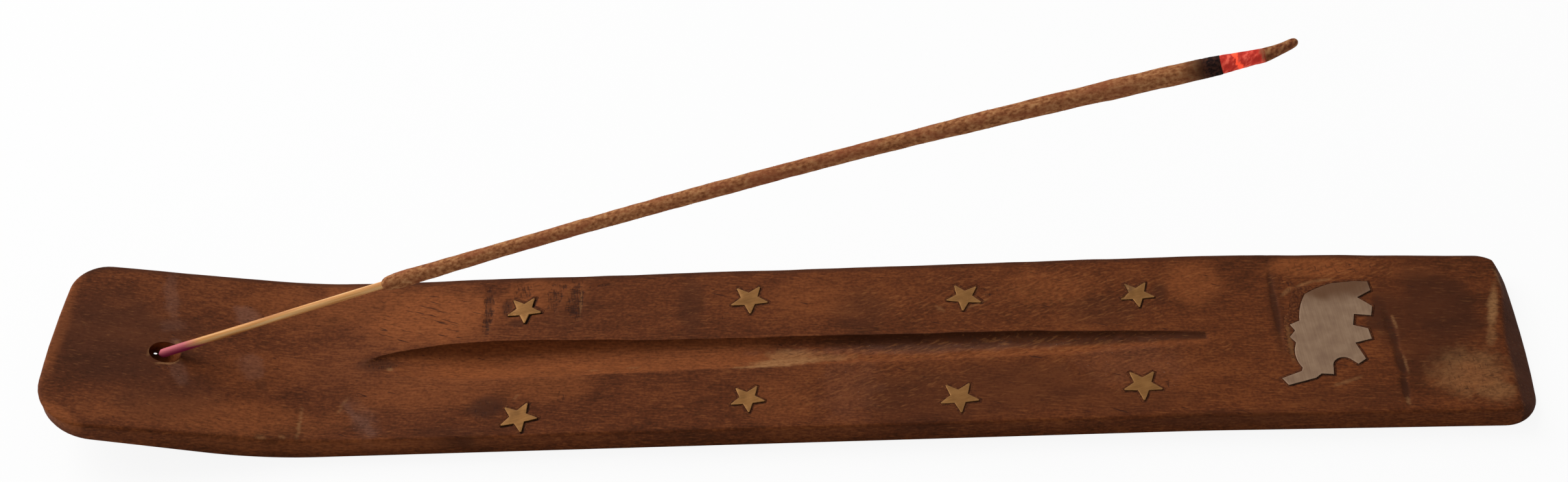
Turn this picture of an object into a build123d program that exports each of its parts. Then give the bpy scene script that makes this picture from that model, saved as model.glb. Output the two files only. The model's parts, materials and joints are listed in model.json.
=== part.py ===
from build123d import *
import os
from math import cos, radians, sin, tan

os.makedirs("parts", exist_ok=True)

# An incense stick holder: a thin wooden board with an upturned end that takes the stick, an ash groove,
# brass stars and a white metal elephant let into its top. Millimetres, +X to the elephant, +Y to the back.

# Board
board_length = 255.0
board_width = 37.4
board_thickness = 4.5
top_edge_round = 0.7
bottom_edge_round = 0.5
cut_overrun = 5.0

# Plan outline: how far its corners lie inside the board's box, where its long sides bend and its ends reach
# furthest, and the round of each corner
front_side_inset = 0.9
front_left_inset = 0.25
front_right_inset = 0.9
back_right_inset = 1.0
back_right_drop = 2.4
back_left_inset = 1.3
front_bend_share = 0.55
back_bend_share = 0.61
right_bow_share = -0.09
left_bow_share = -0.36
front_left_round = 9.5
front_right_round = 6.0
back_right_round = 5.5
back_left_round = 6.5
side_bend_round = 400.0

# Upturned end: where its top and its underside leave the flat, measured from the left end
curl_top_run = 53.5
curl_top_radius = 100.0
curl_top_angle = 10.5
curl_bottom_run = 47.5
curl_bottom_radius = 83.0
curl_bottom_angle = 13.5

# Bevelled end
bevel_run = 4.3
bevel_foot = 0.9
bevel_round = 2.0

# Ash groove, cut by a round-nosed tool that plunges at the foot of the upturned end and lifts out before the
# elephant; the shares and depths are those of the corners of its straight runs, before they are rounded
groove_radius = 5.1
groove_y = -0.75
groove_start_gap = 0.6
groove_end_inset = 54.3
groove_low_share = 0.139
groove_rise_share = 0.364
groove_fade_share = 0.808
groove_low_depth = 2.8
groove_rise_depth = 1.4
groove_fade_depth = 0.82
groove_end_depth = 0.14
groove_low_round = 100.0
groove_rise_round = 400.0
groove_fade_round = 500.0

# Stick hole, drilled through the upturned end at a slant
hole_diameter = 4.4
hole_inset = 19.8
hole_y = -0.35
hole_lean = 42.0
hole_reach = 20.0

# Inlays: plates in pockets, bedded in dark filler that stays a little below the wood
inlay_thickness = 1.2
filler_floor = 0.3
filler_gap = 0.35
filler_sink = 0.15

# Stars: place as shares of half the board, size share of the largest star, turn of one point from +X in
# degrees, and how far the pocket is off centre as shares of the filler gap
star_radius = 3.4
star_waist_share = 0.47
star_points = 5
star_tip_angle = 5.0
star_shares = {
    "back_1": (-0.362, 0.576, 0.915, -84.9, (0.55, 0.45)),
    "back_2": (-0.047, 0.618, 1.000, -86.2, (0.20, -0.30)),
    "back_3": (0.251, 0.556, 0.940, -96.9, (0.35, 0.10)),
    "back_4": (0.488, 0.523, 0.905, -86.9, (-0.30, 0.20)),
    "front_1": (-0.354, -0.730, 0.970, -77.4, (0.55, -0.10)),
    "front_2": (-0.046, -0.592, 0.900, -84.6, (-0.20, -0.30)),
    "front_3": (0.237, -0.650, 1.000, -86.2, (0.25, -0.25)),
    "front_4": (0.481, -0.573, 1.000, -91.0, (-0.10, -0.35)),
}

# Elephant: its length runs along Y with the head to the front, its feet point to +X. Its outline is made of
# straight runs and of arcs by a middle and an end point, each from where the last one ended, as shares of
# half its length and half its height. Its pocket is cut wider along the back and the crown
elephant_inset = 33.8
elephant_y = -0.35
elephant_length = 23.0
elephant_height = 17.9
elephant_tail_shares = [(0.969, -0.265), (1.000, -0.712), (0.982, -0.972), (0.800, -0.997), (0.667, -0.715)]
elephant_hind_leg_shares = [(0.484, -0.966), (0.296, -0.909), (0.334, -0.586), (0.119, -0.531)]
elephant_fore_leg_shares = [(0.047, -0.798), (-0.159, -0.829), (-0.228, -0.502)]
elephant_raised_leg_shares = [(-0.542, -0.641), (-0.637, -0.477), (-0.568, -0.379)]
elephant_chin_arc_shares = [(-0.501, -0.205), (-0.643, -0.006)]
elephant_mouth_shares = [(-0.820, 0.016), (-0.800, 0.246)]
elephant_trunk_shares = [(-0.878, 0.364), (-1.000, 0.896), (-0.864, 1.000), (-0.737, 0.611), (-0.677, 0.582)]
elephant_brow_arc_shares = [(-0.482, 0.667), (-0.288, 0.658)]
elephant_crown_shares = [(-0.183, 0.622), (-0.076, 0.718), (0.045, 0.598), (0.168, 0.674), (0.243, 0.475)]
elephant_back_arc_shares = [(0.549, 0.403), (0.766, 0.284)]
elephant_rump_arc_shares = [(0.878, 0.035), (0.969, -0.265)]
pocket_back_shares = [(0.600, 0.000), (0.930, 0.150), (0.880, 0.495), (0.643, 0.581), (0.408, 0.651)]
pocket_crown_shares = [(0.300, 0.760), (-0.017, 0.816), (-0.308, 0.836), (-0.480, 0.738), (-0.400, 0.300)]

# Stick: a straight bamboo foot, a long gentle sag, a straight burning end and ash that curls up;
# lengths run along it from the foot
core_diameter = 1.7
stick_lean = 20.5
stick_sag_radius = 1410.0
lip_clearance = 0.5
seat_depth = 3.7
bare_length = 45.6
coat_length = 140.9
char_length = 2.8
ember_length = 6.6
ash_length = 5.8
ash_curl_radius = 12.5

# Radii of the paste, from its rounded start to the burnt end, and the part of its length that swells
coat_start_radius = 1.0
coat_bulb_radius = 1.42
coat_bulb_run = 2.2
coat_radius = 1.24
coat_swell = 0.38
coat_swell_start_share = 0.6
coat_swell_run_share = 0.32
coat_stations = 8
char_radius = 1.46
ember_mid_radius = 1.24
ember_end_radius = 1.08
ash_mid_radius = 0.92
ash_end_radius = 0.62

half_length = board_length / 2
half_width = board_width / 2
core_radius = core_diameter / 2
hole_radius = hole_diameter / 2
inlay_floor = board_thickness - inlay_thickness
pocket_floor = inlay_floor - filler_floor
filler_height = board_thickness - filler_sink - pocket_floor

front_y = front_side_inset - half_width
front_left = (front_left_inset - half_length, front_y)
front_bend = (front_bend_share * half_length, front_y)
front_right = (half_length - front_right_inset, -half_width)
right_bow = (half_length, right_bow_share * half_width)
back_right = (half_length - back_right_inset, half_width - back_right_drop)
back_bend = (back_bend_share * half_length, half_width)
back_left = (back_left_inset - half_length, half_width)
left_bow = (-half_length, left_bow_share * half_width)
plan_rounds = [
    (front_left, front_left_round),
    (front_bend, side_bend_round),
    (front_right, front_right_round),
    (back_right, back_right_round),
    (back_bend, side_bend_round),
    (back_left, back_left_round),
]

# Top line of the upturned end, past its arc
curl_start_x = curl_top_run - half_length
ramp_x = curl_start_x - curl_top_radius * sin(radians(curl_top_angle))
ramp_z = board_thickness + curl_top_radius * (1 - cos(radians(curl_top_angle)))


def ramp_height(x):
    return ramp_z + (ramp_x - x) * tan(radians(curl_top_angle))


tip_x = -half_length - cut_overrun
tip_height = ramp_height(tip_x)

# Underside of the upturned end, past its arc
under_start_x = curl_bottom_run - half_length
under_x = under_start_x - curl_bottom_radius * sin(radians(curl_bottom_angle))
under_z = curl_bottom_radius * (1 - cos(radians(curl_bottom_angle)))
under_tip_z = under_z + (under_x - tip_x) * tan(radians(curl_bottom_angle))

# Foot of the bevel, carried on to the underside's level
bevel_toe_x = half_length + bevel_run * bevel_foot / (board_thickness - bevel_foot)

# The groove runs from the foot of the upturned end
groove_start_x = curl_start_x + groove_start_gap
groove_length = half_length - groove_end_inset - groove_start_x

# Stick hole's axis, leaning to +X as it rises
hole_x = hole_inset - half_length
hole_mouth = Vector(hole_x, hole_y, ramp_height(hole_x))
hole_axis = Vector(cos(radians(hole_lean)), 0, sin(radians(hole_lean)))

# The stick passes just above the hole's right lip
lip_x = hole_x + hole_radius / sin(radians(hole_lean + curl_top_angle)) * cos(radians(curl_top_angle))
lip = Vector(lip_x, hole_y, ramp_height(lip_x))
stick_axis = Vector(cos(radians(stick_lean)), 0, sin(radians(stick_lean)))
stick_normal = Vector(-sin(radians(stick_lean)), 0, cos(radians(stick_lean)))
stick_foot = lip + stick_normal * (core_radius + lip_clearance) - stick_axis * seat_depth
coat_start = stick_foot + stick_axis * bare_length


def groove_point(share, depth):
    return Vector(groove_start_x + share * groove_length, groove_y, board_thickness + groove_radius - depth)


def rim_edges(faces):
    edges = [edge for face in faces for edge in face.edges()]
    return ShapeList(edge for edge in edges if edges.count(edge) == 1)


def star_outline(name, gap):
    radius = star_radius * star_shares[name][2]
    corners = []
    for point in range(star_points):
        tip = point * 360 / star_points
        notch = tip + 180 / star_points
        corners.append((radius, tip - star_tip_angle / 2))
        corners.append((radius, tip + star_tip_angle / 2))
        corners.append((radius * star_waist_share, notch))
    with BuildSketch() as outline:
        with BuildLine():
            points = [(reach * cos(radians(turn)), reach * sin(radians(turn))) for reach, turn in corners]
            Polyline(*points, close=True)
        make_face()
        if gap:
            offset(amount=gap, kind=Kind.INTERSECTION)
    return outline.sketch


def elephant_points(shares):
    return [(along * elephant_length / 2, up * elephant_height / 2) for along, up in shares]


def elephant_outline(gap):
    legs = elephant_hind_leg_shares + elephant_fore_leg_shares + elephant_raised_leg_shares
    with BuildSketch() as outline:
        with BuildLine() as edge:
            Polyline(*elephant_points(elephant_tail_shares + legs))
            ThreePointArc(edge.line @ 1, *elephant_points(elephant_chin_arc_shares))
            Polyline(edge.line @ 1, *elephant_points(elephant_mouth_shares + elephant_trunk_shares))
            ThreePointArc(edge.line @ 1, *elephant_points(elephant_brow_arc_shares))
            Polyline(edge.line @ 1, *elephant_points(elephant_crown_shares))
            ThreePointArc(edge.line @ 1, *elephant_points(elephant_back_arc_shares))
            ThreePointArc(edge.line @ 1, *elephant_points(elephant_rump_arc_shares))
        make_face()
        if gap:
            offset(amount=gap, kind=Kind.INTERSECTION)
            with BuildLine():
                Polyline(*elephant_points(pocket_back_shares + pocket_crown_shares), close=True)
            make_face()
    return outline.sketch


def star_plane(name, height, off_centre):
    along, across, size, turn, shift = star_shares[name]
    x = along * half_length + off_centre * shift[0] * filler_gap
    y = across * half_width + off_centre * shift[1] * filler_gap
    x_dir = (cos(radians(turn)), sin(radians(turn)), 0)
    return Plane(origin=(x, y, height), x_dir=x_dir, z_dir=(0, 0, 1))


def elephant_plane(height):
    place = (half_length - elephant_inset, elephant_y, height)
    return Plane(origin=place, x_dir=(0, 1, 0), z_dir=(0, 0, 1))


# The board: its side profile cut to the plan outline, then grooved, drilled and pocketed
with BuildPart() as wooden_tray:
    with BuildSketch(Plane.XZ) as side:
        with BuildLine():
            top_arc = JernArc((curl_start_x, board_thickness), (-1, 0), curl_top_radius, -curl_top_angle)
            bottom_arc = JernArc((under_start_x, 0), (-1, 0), curl_bottom_radius, -curl_bottom_angle)
            Polyline(
                top_arc @ 1,
                (tip_x, tip_height),
                (tip_x, under_tip_z),
                bottom_arc @ 1,
            )
            Polyline(
                (under_start_x, 0),
                (bevel_toe_x, 0),
                (half_length - bevel_run, board_thickness),
                (curl_start_x, board_thickness),
            )
        make_face()
        bevel_corner = (half_length - bevel_run, board_thickness)
        fillet(side.vertices().sort_by_distance(bevel_corner)[0], bevel_round)
    extrude(amount=half_width + cut_overrun, both=True)
    with BuildSketch() as plan:
        with BuildLine():
            Polyline(front_left, front_bend, front_right)
            ThreePointArc(front_right, right_bow, back_right)
            Polyline(back_right, back_bend, back_left)
            ThreePointArc(back_left, left_bow, front_left)
        make_face()
        for corner, corner_round in plan_rounds:
            fillet(plan.vertices().sort_by_distance(corner)[0], corner_round)
    extrude(amount=tip_height + cut_overrun, mode=Mode.INTERSECT)
    upward = wooden_tray.faces().filter_by(lambda face: face.normal_at(face.center()).Z > 1 / 2)
    fillet(rim_edges(upward), top_edge_round)
    downward = wooden_tray.faces().filter_by(lambda face: face.normal_at(face.center()).Z < -1 / 2)
    fillet(rim_edges(downward), bottom_edge_round)

    with BuildLine() as groove_path:
        tool_path = FilletPolyline(
            groove_point(0, 0),
            groove_point(groove_low_share, groove_low_depth),
            groove_point(groove_rise_share, groove_rise_depth),
            groove_point(groove_fade_share, groove_fade_depth),
            groove_point(1, groove_end_depth),
            radius=[groove_low_round, groove_rise_round, groove_fade_round],
        )
    with BuildSketch(Plane(origin=tool_path @ 0, z_dir=tool_path % 0)):
        Circle(groove_radius)
    sweep(path=groove_path.line, mode=Mode.SUBTRACT)

    with BuildSketch(Plane(origin=hole_mouth, z_dir=hole_axis)):
        Circle(hole_radius)
    extrude(amount=hole_reach, both=True, mode=Mode.SUBTRACT)

    for name in star_shares:
        with BuildSketch(star_plane(name, pocket_floor, 1)):
            add(star_outline(name, filler_gap))
        extrude(amount=cut_overrun, mode=Mode.SUBTRACT)
    with BuildSketch(elephant_plane(pocket_floor)):
        add(elephant_outline(filler_gap))
    extrude(amount=cut_overrun, mode=Mode.SUBTRACT)
wooden_tray.part.label = "wooden_tray"
export_step(wooden_tray.part, "parts/wooden_tray.step")

# Stars and the filler that beds each one
for name in star_shares:
    with BuildPart() as star_inlay:
        with BuildSketch(star_plane(name, inlay_floor, 0)):
            add(star_outline(name, 0))
        extrude(amount=inlay_thickness)
    star_inlay.part.label = f"star_inlay_{name}"
    export_step(star_inlay.part, f"parts/star_inlay_{name}.step")

    with BuildPart() as star_bed:
        with BuildSketch(star_plane(name, pocket_floor, 1)):
            add(star_outline(name, filler_gap))
        extrude(amount=filler_height)
        add(star_inlay.part, mode=Mode.SUBTRACT)
    star_bed.part.label = f"star_bed_{name}"
    export_step(star_bed.part, f"parts/star_bed_{name}.step")

with BuildPart() as elephant_inlay:
    with BuildSketch(elephant_plane(inlay_floor)):
        add(elephant_outline(0))
    extrude(amount=inlay_thickness)
elephant_inlay.part.label = "elephant_inlay"
export_step(elephant_inlay.part, "parts/elephant_inlay.step")

with BuildPart() as elephant_bed:
    with BuildSketch(elephant_plane(pocket_floor)):
        add(elephant_outline(filler_gap))
    extrude(amount=filler_height)
    add(elephant_inlay.part, mode=Mode.SUBTRACT)
elephant_bed.part.label = "elephant_bed"
export_step(elephant_bed.part, "parts/elephant_bed.step")


# The stick's line: the sag by length past the straight foot, the burning end by length past the paste
def sag_point(run):
    turn = run / stick_sag_radius
    along = stick_axis * (stick_sag_radius * sin(turn))
    return coat_start + along - stick_normal * (stick_sag_radius * (1 - cos(turn)))


def sag_plane(run):
    turn = run / stick_sag_radius
    return Plane(origin=sag_point(run), z_dir=stick_axis * cos(turn) - stick_normal * sin(turn))


burn_start = sag_point(coat_length)
burn_axis = sag_plane(coat_length).z_dir
burn_up = burn_axis.cross(Vector(0, 1, 0))
ash_start = burn_start + burn_axis * (char_length + ember_length)


def burn_profile(run):
    return Plane(origin=burn_start + burn_axis * run, x_dir=burn_axis, z_dir=(0, -1, 0))


def curl_plane(run):
    turn = run / ash_curl_radius
    rise = burn_up * (ash_curl_radius * (1 - cos(turn)))
    origin = ash_start + burn_axis * (ash_curl_radius * sin(turn)) + rise
    return Plane(origin=origin, z_dir=burn_axis * cos(turn) + burn_up * sin(turn))


def coat_size(share):
    swell = min(1, max(0, (share - coat_swell_start_share) / coat_swell_run_share))
    return coat_radius + coat_swell * swell * swell * (3 - 2 * swell)


with BuildPart() as bamboo_core:
    with BuildLine() as core_path:
        Line(stick_foot, coat_start)
        ThreePointArc(coat_start, sag_point(coat_length / 2), burn_start)
        Line(burn_start, burn_start + burn_axis * char_length)
    with BuildSketch(Plane(origin=stick_foot, z_dir=stick_axis)):
        Circle(core_radius)
    sweep(path=core_path.line)
bamboo_core.part.label = "bamboo_core"
export_step(bamboo_core.part, "parts/bamboo_core.step")

with BuildPart() as incense_coat:
    with BuildSketch(sag_plane(0)):
        Circle(coat_start_radius)
    with BuildSketch(sag_plane(coat_bulb_run)):
        Circle(coat_bulb_radius)
    for station in range(1, coat_stations + 1):
        share = station / coat_stations
        with BuildSketch(sag_plane(coat_length * share)):
            Circle(coat_size(share))
    loft(ruled=True)
    add(bamboo_core.part, mode=Mode.SUBTRACT)
incense_coat.part.label = "incense_coat"
export_step(incense_coat.part, "parts/incense_coat.step")

with BuildPart() as char_ring:
    with BuildSketch(burn_profile(0)):
        with BuildLine():
            Polyline(
                (0, core_radius),
                (char_length, core_radius),
                (char_length, char_radius),
                (0, coat_size(1)),
                close=True,
            )
        make_face()
    revolve(axis=Axis(burn_start, burn_axis))
char_ring.part.label = "char_ring"
export_step(char_ring.part, "parts/char_ring.step")

with BuildPart() as ember:
    with BuildSketch(burn_profile(char_length)):
        with BuildLine():
            Polyline(
                (0, 0),
                (ember_length, 0),
                (ember_length, ember_end_radius),
                (ember_length / 2, ember_mid_radius),
                (0, char_radius),
                close=True,
            )
        make_face()
    revolve(axis=Axis(burn_start, burn_axis))
ember.part.label = "ember"
export_step(ember.part, "parts/ember.step")

with BuildPart() as ash_tip:
    with BuildSketch(curl_plane(0)):
        Circle(ember_end_radius)
    with BuildSketch(curl_plane(ash_length / 2)):
        Circle(ash_mid_radius)
    with BuildSketch(curl_plane(ash_length)):
        Circle(ash_end_radius)
    loft(ruled=True)
ash_tip.part.label = "ash_tip"
export_step(ash_tip.part, "parts/ash_tip.step")
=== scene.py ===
import json
import math
from functools import partial
import bpy
import numpy as np
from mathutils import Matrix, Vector
from mathutils.geometry import delaunay_2d_cdt
from mathutils.kdtree import KDTree


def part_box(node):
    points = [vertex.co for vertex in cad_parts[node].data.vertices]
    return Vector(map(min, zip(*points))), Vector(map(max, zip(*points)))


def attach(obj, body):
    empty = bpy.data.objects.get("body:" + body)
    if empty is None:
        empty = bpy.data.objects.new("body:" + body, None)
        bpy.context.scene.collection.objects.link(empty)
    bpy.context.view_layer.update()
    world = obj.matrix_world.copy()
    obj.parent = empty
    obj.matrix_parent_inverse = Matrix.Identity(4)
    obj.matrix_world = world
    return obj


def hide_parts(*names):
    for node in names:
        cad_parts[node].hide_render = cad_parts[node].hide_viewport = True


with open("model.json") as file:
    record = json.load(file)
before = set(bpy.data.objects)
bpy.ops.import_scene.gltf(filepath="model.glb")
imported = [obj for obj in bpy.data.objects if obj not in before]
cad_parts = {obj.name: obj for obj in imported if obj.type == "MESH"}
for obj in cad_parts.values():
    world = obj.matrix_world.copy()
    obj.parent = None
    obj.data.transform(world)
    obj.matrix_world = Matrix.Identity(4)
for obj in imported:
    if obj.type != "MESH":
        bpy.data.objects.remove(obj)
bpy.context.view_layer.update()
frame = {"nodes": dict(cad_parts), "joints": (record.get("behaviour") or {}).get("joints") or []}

mm = 0.001  # Blender works in metres; every size below is in millimetres
print("frame loaded:", len(frame["nodes"]), "nodes")


# small tools: colour, nodes, random fields, loops and meshes

def linear(hexColour):
    parts = [int(hexColour[i:i + 2], 16) / 255 for i in (1, 3, 5)]
    return [c / 12.92 if c <= 0.04045 else ((c + 0.055) / 1.055) ** 2.4 for c in parts] + [1]


def setInputs(node, values):  # another node's output is linked, anything else becomes the input's own value
    for name, value in values.items():
        if isinstance(value, bpy.types.NodeSocket):
            node.id_data.links.new(value, node.inputs[name])
        else:
            node.inputs[name].default_value = value


def addNode(tree, kind, inputs=None, stops=(), **settings):  # stops are places and colours along a ramp
    node = tree.nodes.new(kind if "Node" in kind else "ShaderNode" + kind)
    for name, value in settings.items():
        setattr(node, name, value)
    setInputs(node, inputs or {})
    for index, (place, colour) in enumerate(stops):
        ramp = node.color_ramp.elements
        stop = ramp[index] if index < len(ramp) else ramp.new(place)
        stop.position = place
        stop.color = linear(colour)
    return node.outputs


def startMaterial(name, patterns=(), stickStart=None, tilt=0):
    # gives noise patterns by name, from (name, size, turn, detail), laid on the object; with a start they lie
    # along the stick, and the distances along and above it are given too
    material = bpy.data.materials.new(name)
    material.use_nodes = True
    add = partial(addNode, material.node_tree)
    parts, place, unit = {}, add("TexCoord")["Object"], mm
    if stickStart is not None:
        parts["along"], parts["above"], place = stickPlace(add, place, stickStart)
        unit = 1
    for pattern, size, turn, detail in patterns:
        cells = add("Mapping", {"Vector": place, "Rotation": (0, math.radians(tilt), math.radians(turn)),
                                "Scale": [s * unit for s in size]}, vector_type="TEXTURE")[0]
        parts[pattern] = add("TexNoise", {"Vector": cells, "Scale": 1, "Detail": detail})[0]
    return material, material.node_tree.nodes["Principled BSDF"], add, parts


def smooth(t):
    t = np.clip(t, 0, 1)
    return t * t * (3 - 2 * t)


def rising(value, start, run):  # from 0 at a start to 1 after a run
    return smooth((value - start) / run)


def falling(value, end, run):  # from 1 to 0, which it reaches at an end after a run
    return smooth((end - value) / run)


def randomField(x, y, size, seed, layers=2):  # smooth noise between -1 and 1, about one bump for each size
    sizeX, sizeY = size if isinstance(size, tuple) else (size, size)
    cells = 97  # after so many bumps the noise repeats
    total = np.zeros(np.shape(x))
    for layer in range(layers):
        table = np.random.default_rng(seed + layer).uniform(-1, 1, (cells, cells))
        u, v = np.asarray(x) / sizeX * 2 ** layer, np.asarray(y) / sizeY * 2 ** layer
        i, j = np.floor(u).astype(int), np.floor(v).astype(int)
        s, t = smooth(u - i), smooth(v - j)
        i, j, iNext, jNext = i % cells, j % cells, (i + 1) % cells, (j + 1) % cells
        low = table[i, j] * (1 - s) + table[iNext, j] * s
        high = table[i, jNext] * (1 - s) + table[iNext, jNext] * s
        total += (low * (1 - t) + high * t) * 0.5 ** layer
    return total / (2 - 0.5 ** (layers - 1))


def marks(x, y, items, ragged, raggedSize, seed):
    # each mark is (x, y, half length, half width, turn in degrees, strength), fading at its edge
    outer, fade = 1.35, 0.8  # in half widths
    field = np.zeros(np.shape(x))
    edge = ragged * randomField(x, y, raggedSize, seed, 3)
    for markX, markY, run, width, turn, strength in items:
        c, s = math.cos(math.radians(turn)), math.sin(math.radians(turn))
        along, across = (x - markX) * c + (y - markY) * s, (y - markY) * c - (x - markX) * s
        away = np.sqrt((along / run) ** 2 + (across / width) ** 2) + edge
        field = np.maximum(field, strength * falling(away, outer, fade))
    return field


def nodeTriangles(node):
    mesh = frame["nodes"][node].data
    mesh.calc_loop_triangles()
    points = np.empty(len(mesh.vertices) * 3)
    mesh.vertices.foreach_get("co", points)
    corners = np.empty(len(mesh.loop_triangles) * 3, int)
    mesh.loop_triangles.foreach_get("vertices", corners)
    return points.reshape(-1, 3) / mm, corners.reshape(-1, 3)


def heights(node):
    return [corner.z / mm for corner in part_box(node)]


def flatFaceLoop(node, top):  # plan outline of a solid's flat top or bottom, counter-clockwise
    points, triangles = nodeTriangles(node)
    level = points[:, 2].max() if top else points[:, 2].min()
    flat = triangles[(abs(points[triangles][:, :, 2] - level) < 0.003).all(1)]
    names, plan, after = {}, [], {}
    for p in points:
        key = tuple(np.round(p[:2], 3))
        if key not in names:
            names[key] = len(plan)
            plan.append(p[:2])
    ids = np.array([names[tuple(np.round(p[:2], 3))] for p in points])[flat]
    edges = {(a, b) for t in ids for a, b in zip(t, np.roll(t, -1)) if a != b}
    for a, b in edges:
        if (b, a) not in edges:
            after[a] = b
    loops = []
    while after:
        start, b = after.popitem()
        chain = [start]
        while b != start:
            chain.append(b)
            b = after.pop(b)
        loops.append(np.array([plan[i] for i in chain]))
    outer = max(loops, key=lambda loop: abs(loopArea(loop)))
    return outer if loopArea(outer) > 0 else outer[::-1]


def loopArea(loop):
    x, y = loop.T
    return 0.5 * np.sum(x * np.roll(y, -1) - y * np.roll(x, -1))


def resample(loop, step):  # even points along every run, with the corners kept
    points = []
    for a, b in zip(loop, np.roll(loop, -1, 0)):
        count = max(1, int(math.ceil(np.linalg.norm(b - a) / step)))
        points += [a + (b - a) * k / count for k in range(count)]
    return np.array(points)


def inset(loop, distance):  # moves a counter-clockwise loop inwards
    run = np.roll(loop, -1, 0) - np.roll(loop, 1, 0)
    run /= np.linalg.norm(run, axis=1)[:, None]
    return loop + np.c_[-run[:, 1], run[:, 0]] * np.reshape(distance, (-1, 1))


def insideLoop(points, loop):
    inside = np.zeros(len(points), bool)
    near = ((points >= loop.min(0)) & (points <= loop.max(0))).all(1)
    (x, y), hits = points[near].T, np.zeros(near.sum(), bool)
    for (ax, ay), (bx, by) in zip(loop, np.roll(loop, -1, 0)):
        if ay != by:
            hits ^= ((ay > y) != (by > y)) & (x < (bx - ax) * (y - ay) / (by - ay) + ax)
    inside[near] = hits
    return inside


def nearest(points, loops):  # how far each point is from the nearest loop point, and that one's number
    crowd = KDTree(sum(len(loop) for loop in loops))
    for index, (x, y) in enumerate(np.concatenate(loops)):
        crowd.insert((x, y, 0), index)
    crowd.balance()
    found = [crowd.find((x, y, 0)) for x, y in points]
    return np.array([distance for _, _, distance in found]), [index for _, index, _ in found]


def clearOf(points, loops, gap):  # drops the points that crowd a loop
    return points[nearest(points, loops)[0] > gap]


def fillLoops(outer, holes=(), points=(), lines=()):  # triangles between an outline and its holes
    loops = [outer, *holes]
    plan, edges, first = [], [], []
    for index, loop in enumerate([*loops, *lines]):
        start = len(plan)
        first.append(start)
        plan += [Vector(p) for p in loop]
        edges += [(start + k, start + k + 1) for k in range(len(loop) - 1)]
        if index < len(loops):
            edges.append((len(plan) - 1, start))
    plan += [Vector(p) for p in points]
    places, _, triangles, origins, _, _ = delaunay_2d_cdt(plan, edges, [], 0, 1e-6, True)
    places, triangles = np.array([tuple(p) for p in places]), np.array(triangles)
    becomes = {old: new for new, olds in enumerate(origins) for old in olds}
    loopIds = [[becomes[start + k] for k in range(len(loop))] for start, loop in zip(first, loops)]
    middles = places[triangles].mean(1)
    keep = insideLoop(middles, outer)
    for hole in holes:
        keep &= ~insideLoop(middles, hole)
    triangles = triangles[keep]
    a, b, c = (places[triangles[:, k]] for k in range(3))
    turned = (b - a)[:, 0] * (c - a)[:, 1] - (b - a)[:, 1] * (c - a)[:, 0] < 0
    triangles[turned] = triangles[turned][:, ::-1]
    return places, triangles.tolist(), loopIds


def hexPoints(low, high, step, seed):  # rows of points over a rectangle, each a little off its place
    columns, rows = np.arange(low[0], high[0], step), np.arange(low[1], high[1], step * 0.866)
    x, y = np.meshgrid(columns, rows)
    x = x + (np.arange(len(rows)) % 2)[:, None] * step / 2
    jitter = np.random.default_rng(seed).uniform(-0.14, 0.14, (2, x.size)) * step
    return np.c_[x.ravel(), y.ravel()] + jitter.T


class Shell:  # gathers points and faces of one closed mesh

    def __init__(self):
        self.points, self.faces = [], []

    def add(self, plan, z):
        start = len(self.points)
        self.points += [tuple(p) for p in np.c_[plan, np.broadcast_to(z, len(plan))]]
        return list(range(start, len(self.points)))

    def bridge(self, upper, lower, inwards=False):  # wall between two loops of as many points
        for a, b, c, d in zip(upper, lower, np.roll(lower, -1), np.roll(upper, -1)):
            self.faces.append((a, d, c, b) if inwards else (a, b, c, d))

    def drop(self, upper, plan, z, inwards=False):  # adds a loop of points and joins it to the one above
        lower = self.add(plan, z)
        self.bridge(upper, lower, inwards)
        return lower

    def cap(self, ids, loop, up):
        _, triangles, (order,) = fillLoops(np.asarray(loop))
        name = {place: ids[k] for k, place in enumerate(order)}
        self.faces += [tuple(name[k] for k in (t if up else t[::-1])) for t in triangles]


def addObject(name, data):
    thing = bpy.data.objects.new(name, data)
    bpy.context.scene.collection.objects.link(thing)
    return thing


def setField(mesh, field, values):
    mesh.attributes.new(field, "FLOAT", "POINT").data.foreach_set("value", np.asarray(values, np.float32))


def makePiece(name, points, faces, material, fields=None, crisp=None):
    mesh = bpy.data.meshes.new(name)
    mesh.from_pydata((np.array(points) * mm).tolist(), [], faces)
    mesh.materials.append(material)
    mesh.shade_smooth()
    for field, values in (fields or {}).items():
        setField(mesh, field, values)
    if crisp:
        mesh.set_sharp_from_angle(angle=math.radians(crisp))
    return addObject(name, mesh)


def fitPiece(piece, body, slot, *nodes):
    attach(piece, body)
    if nodes:
        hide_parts(*nodes)


# materials

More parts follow.
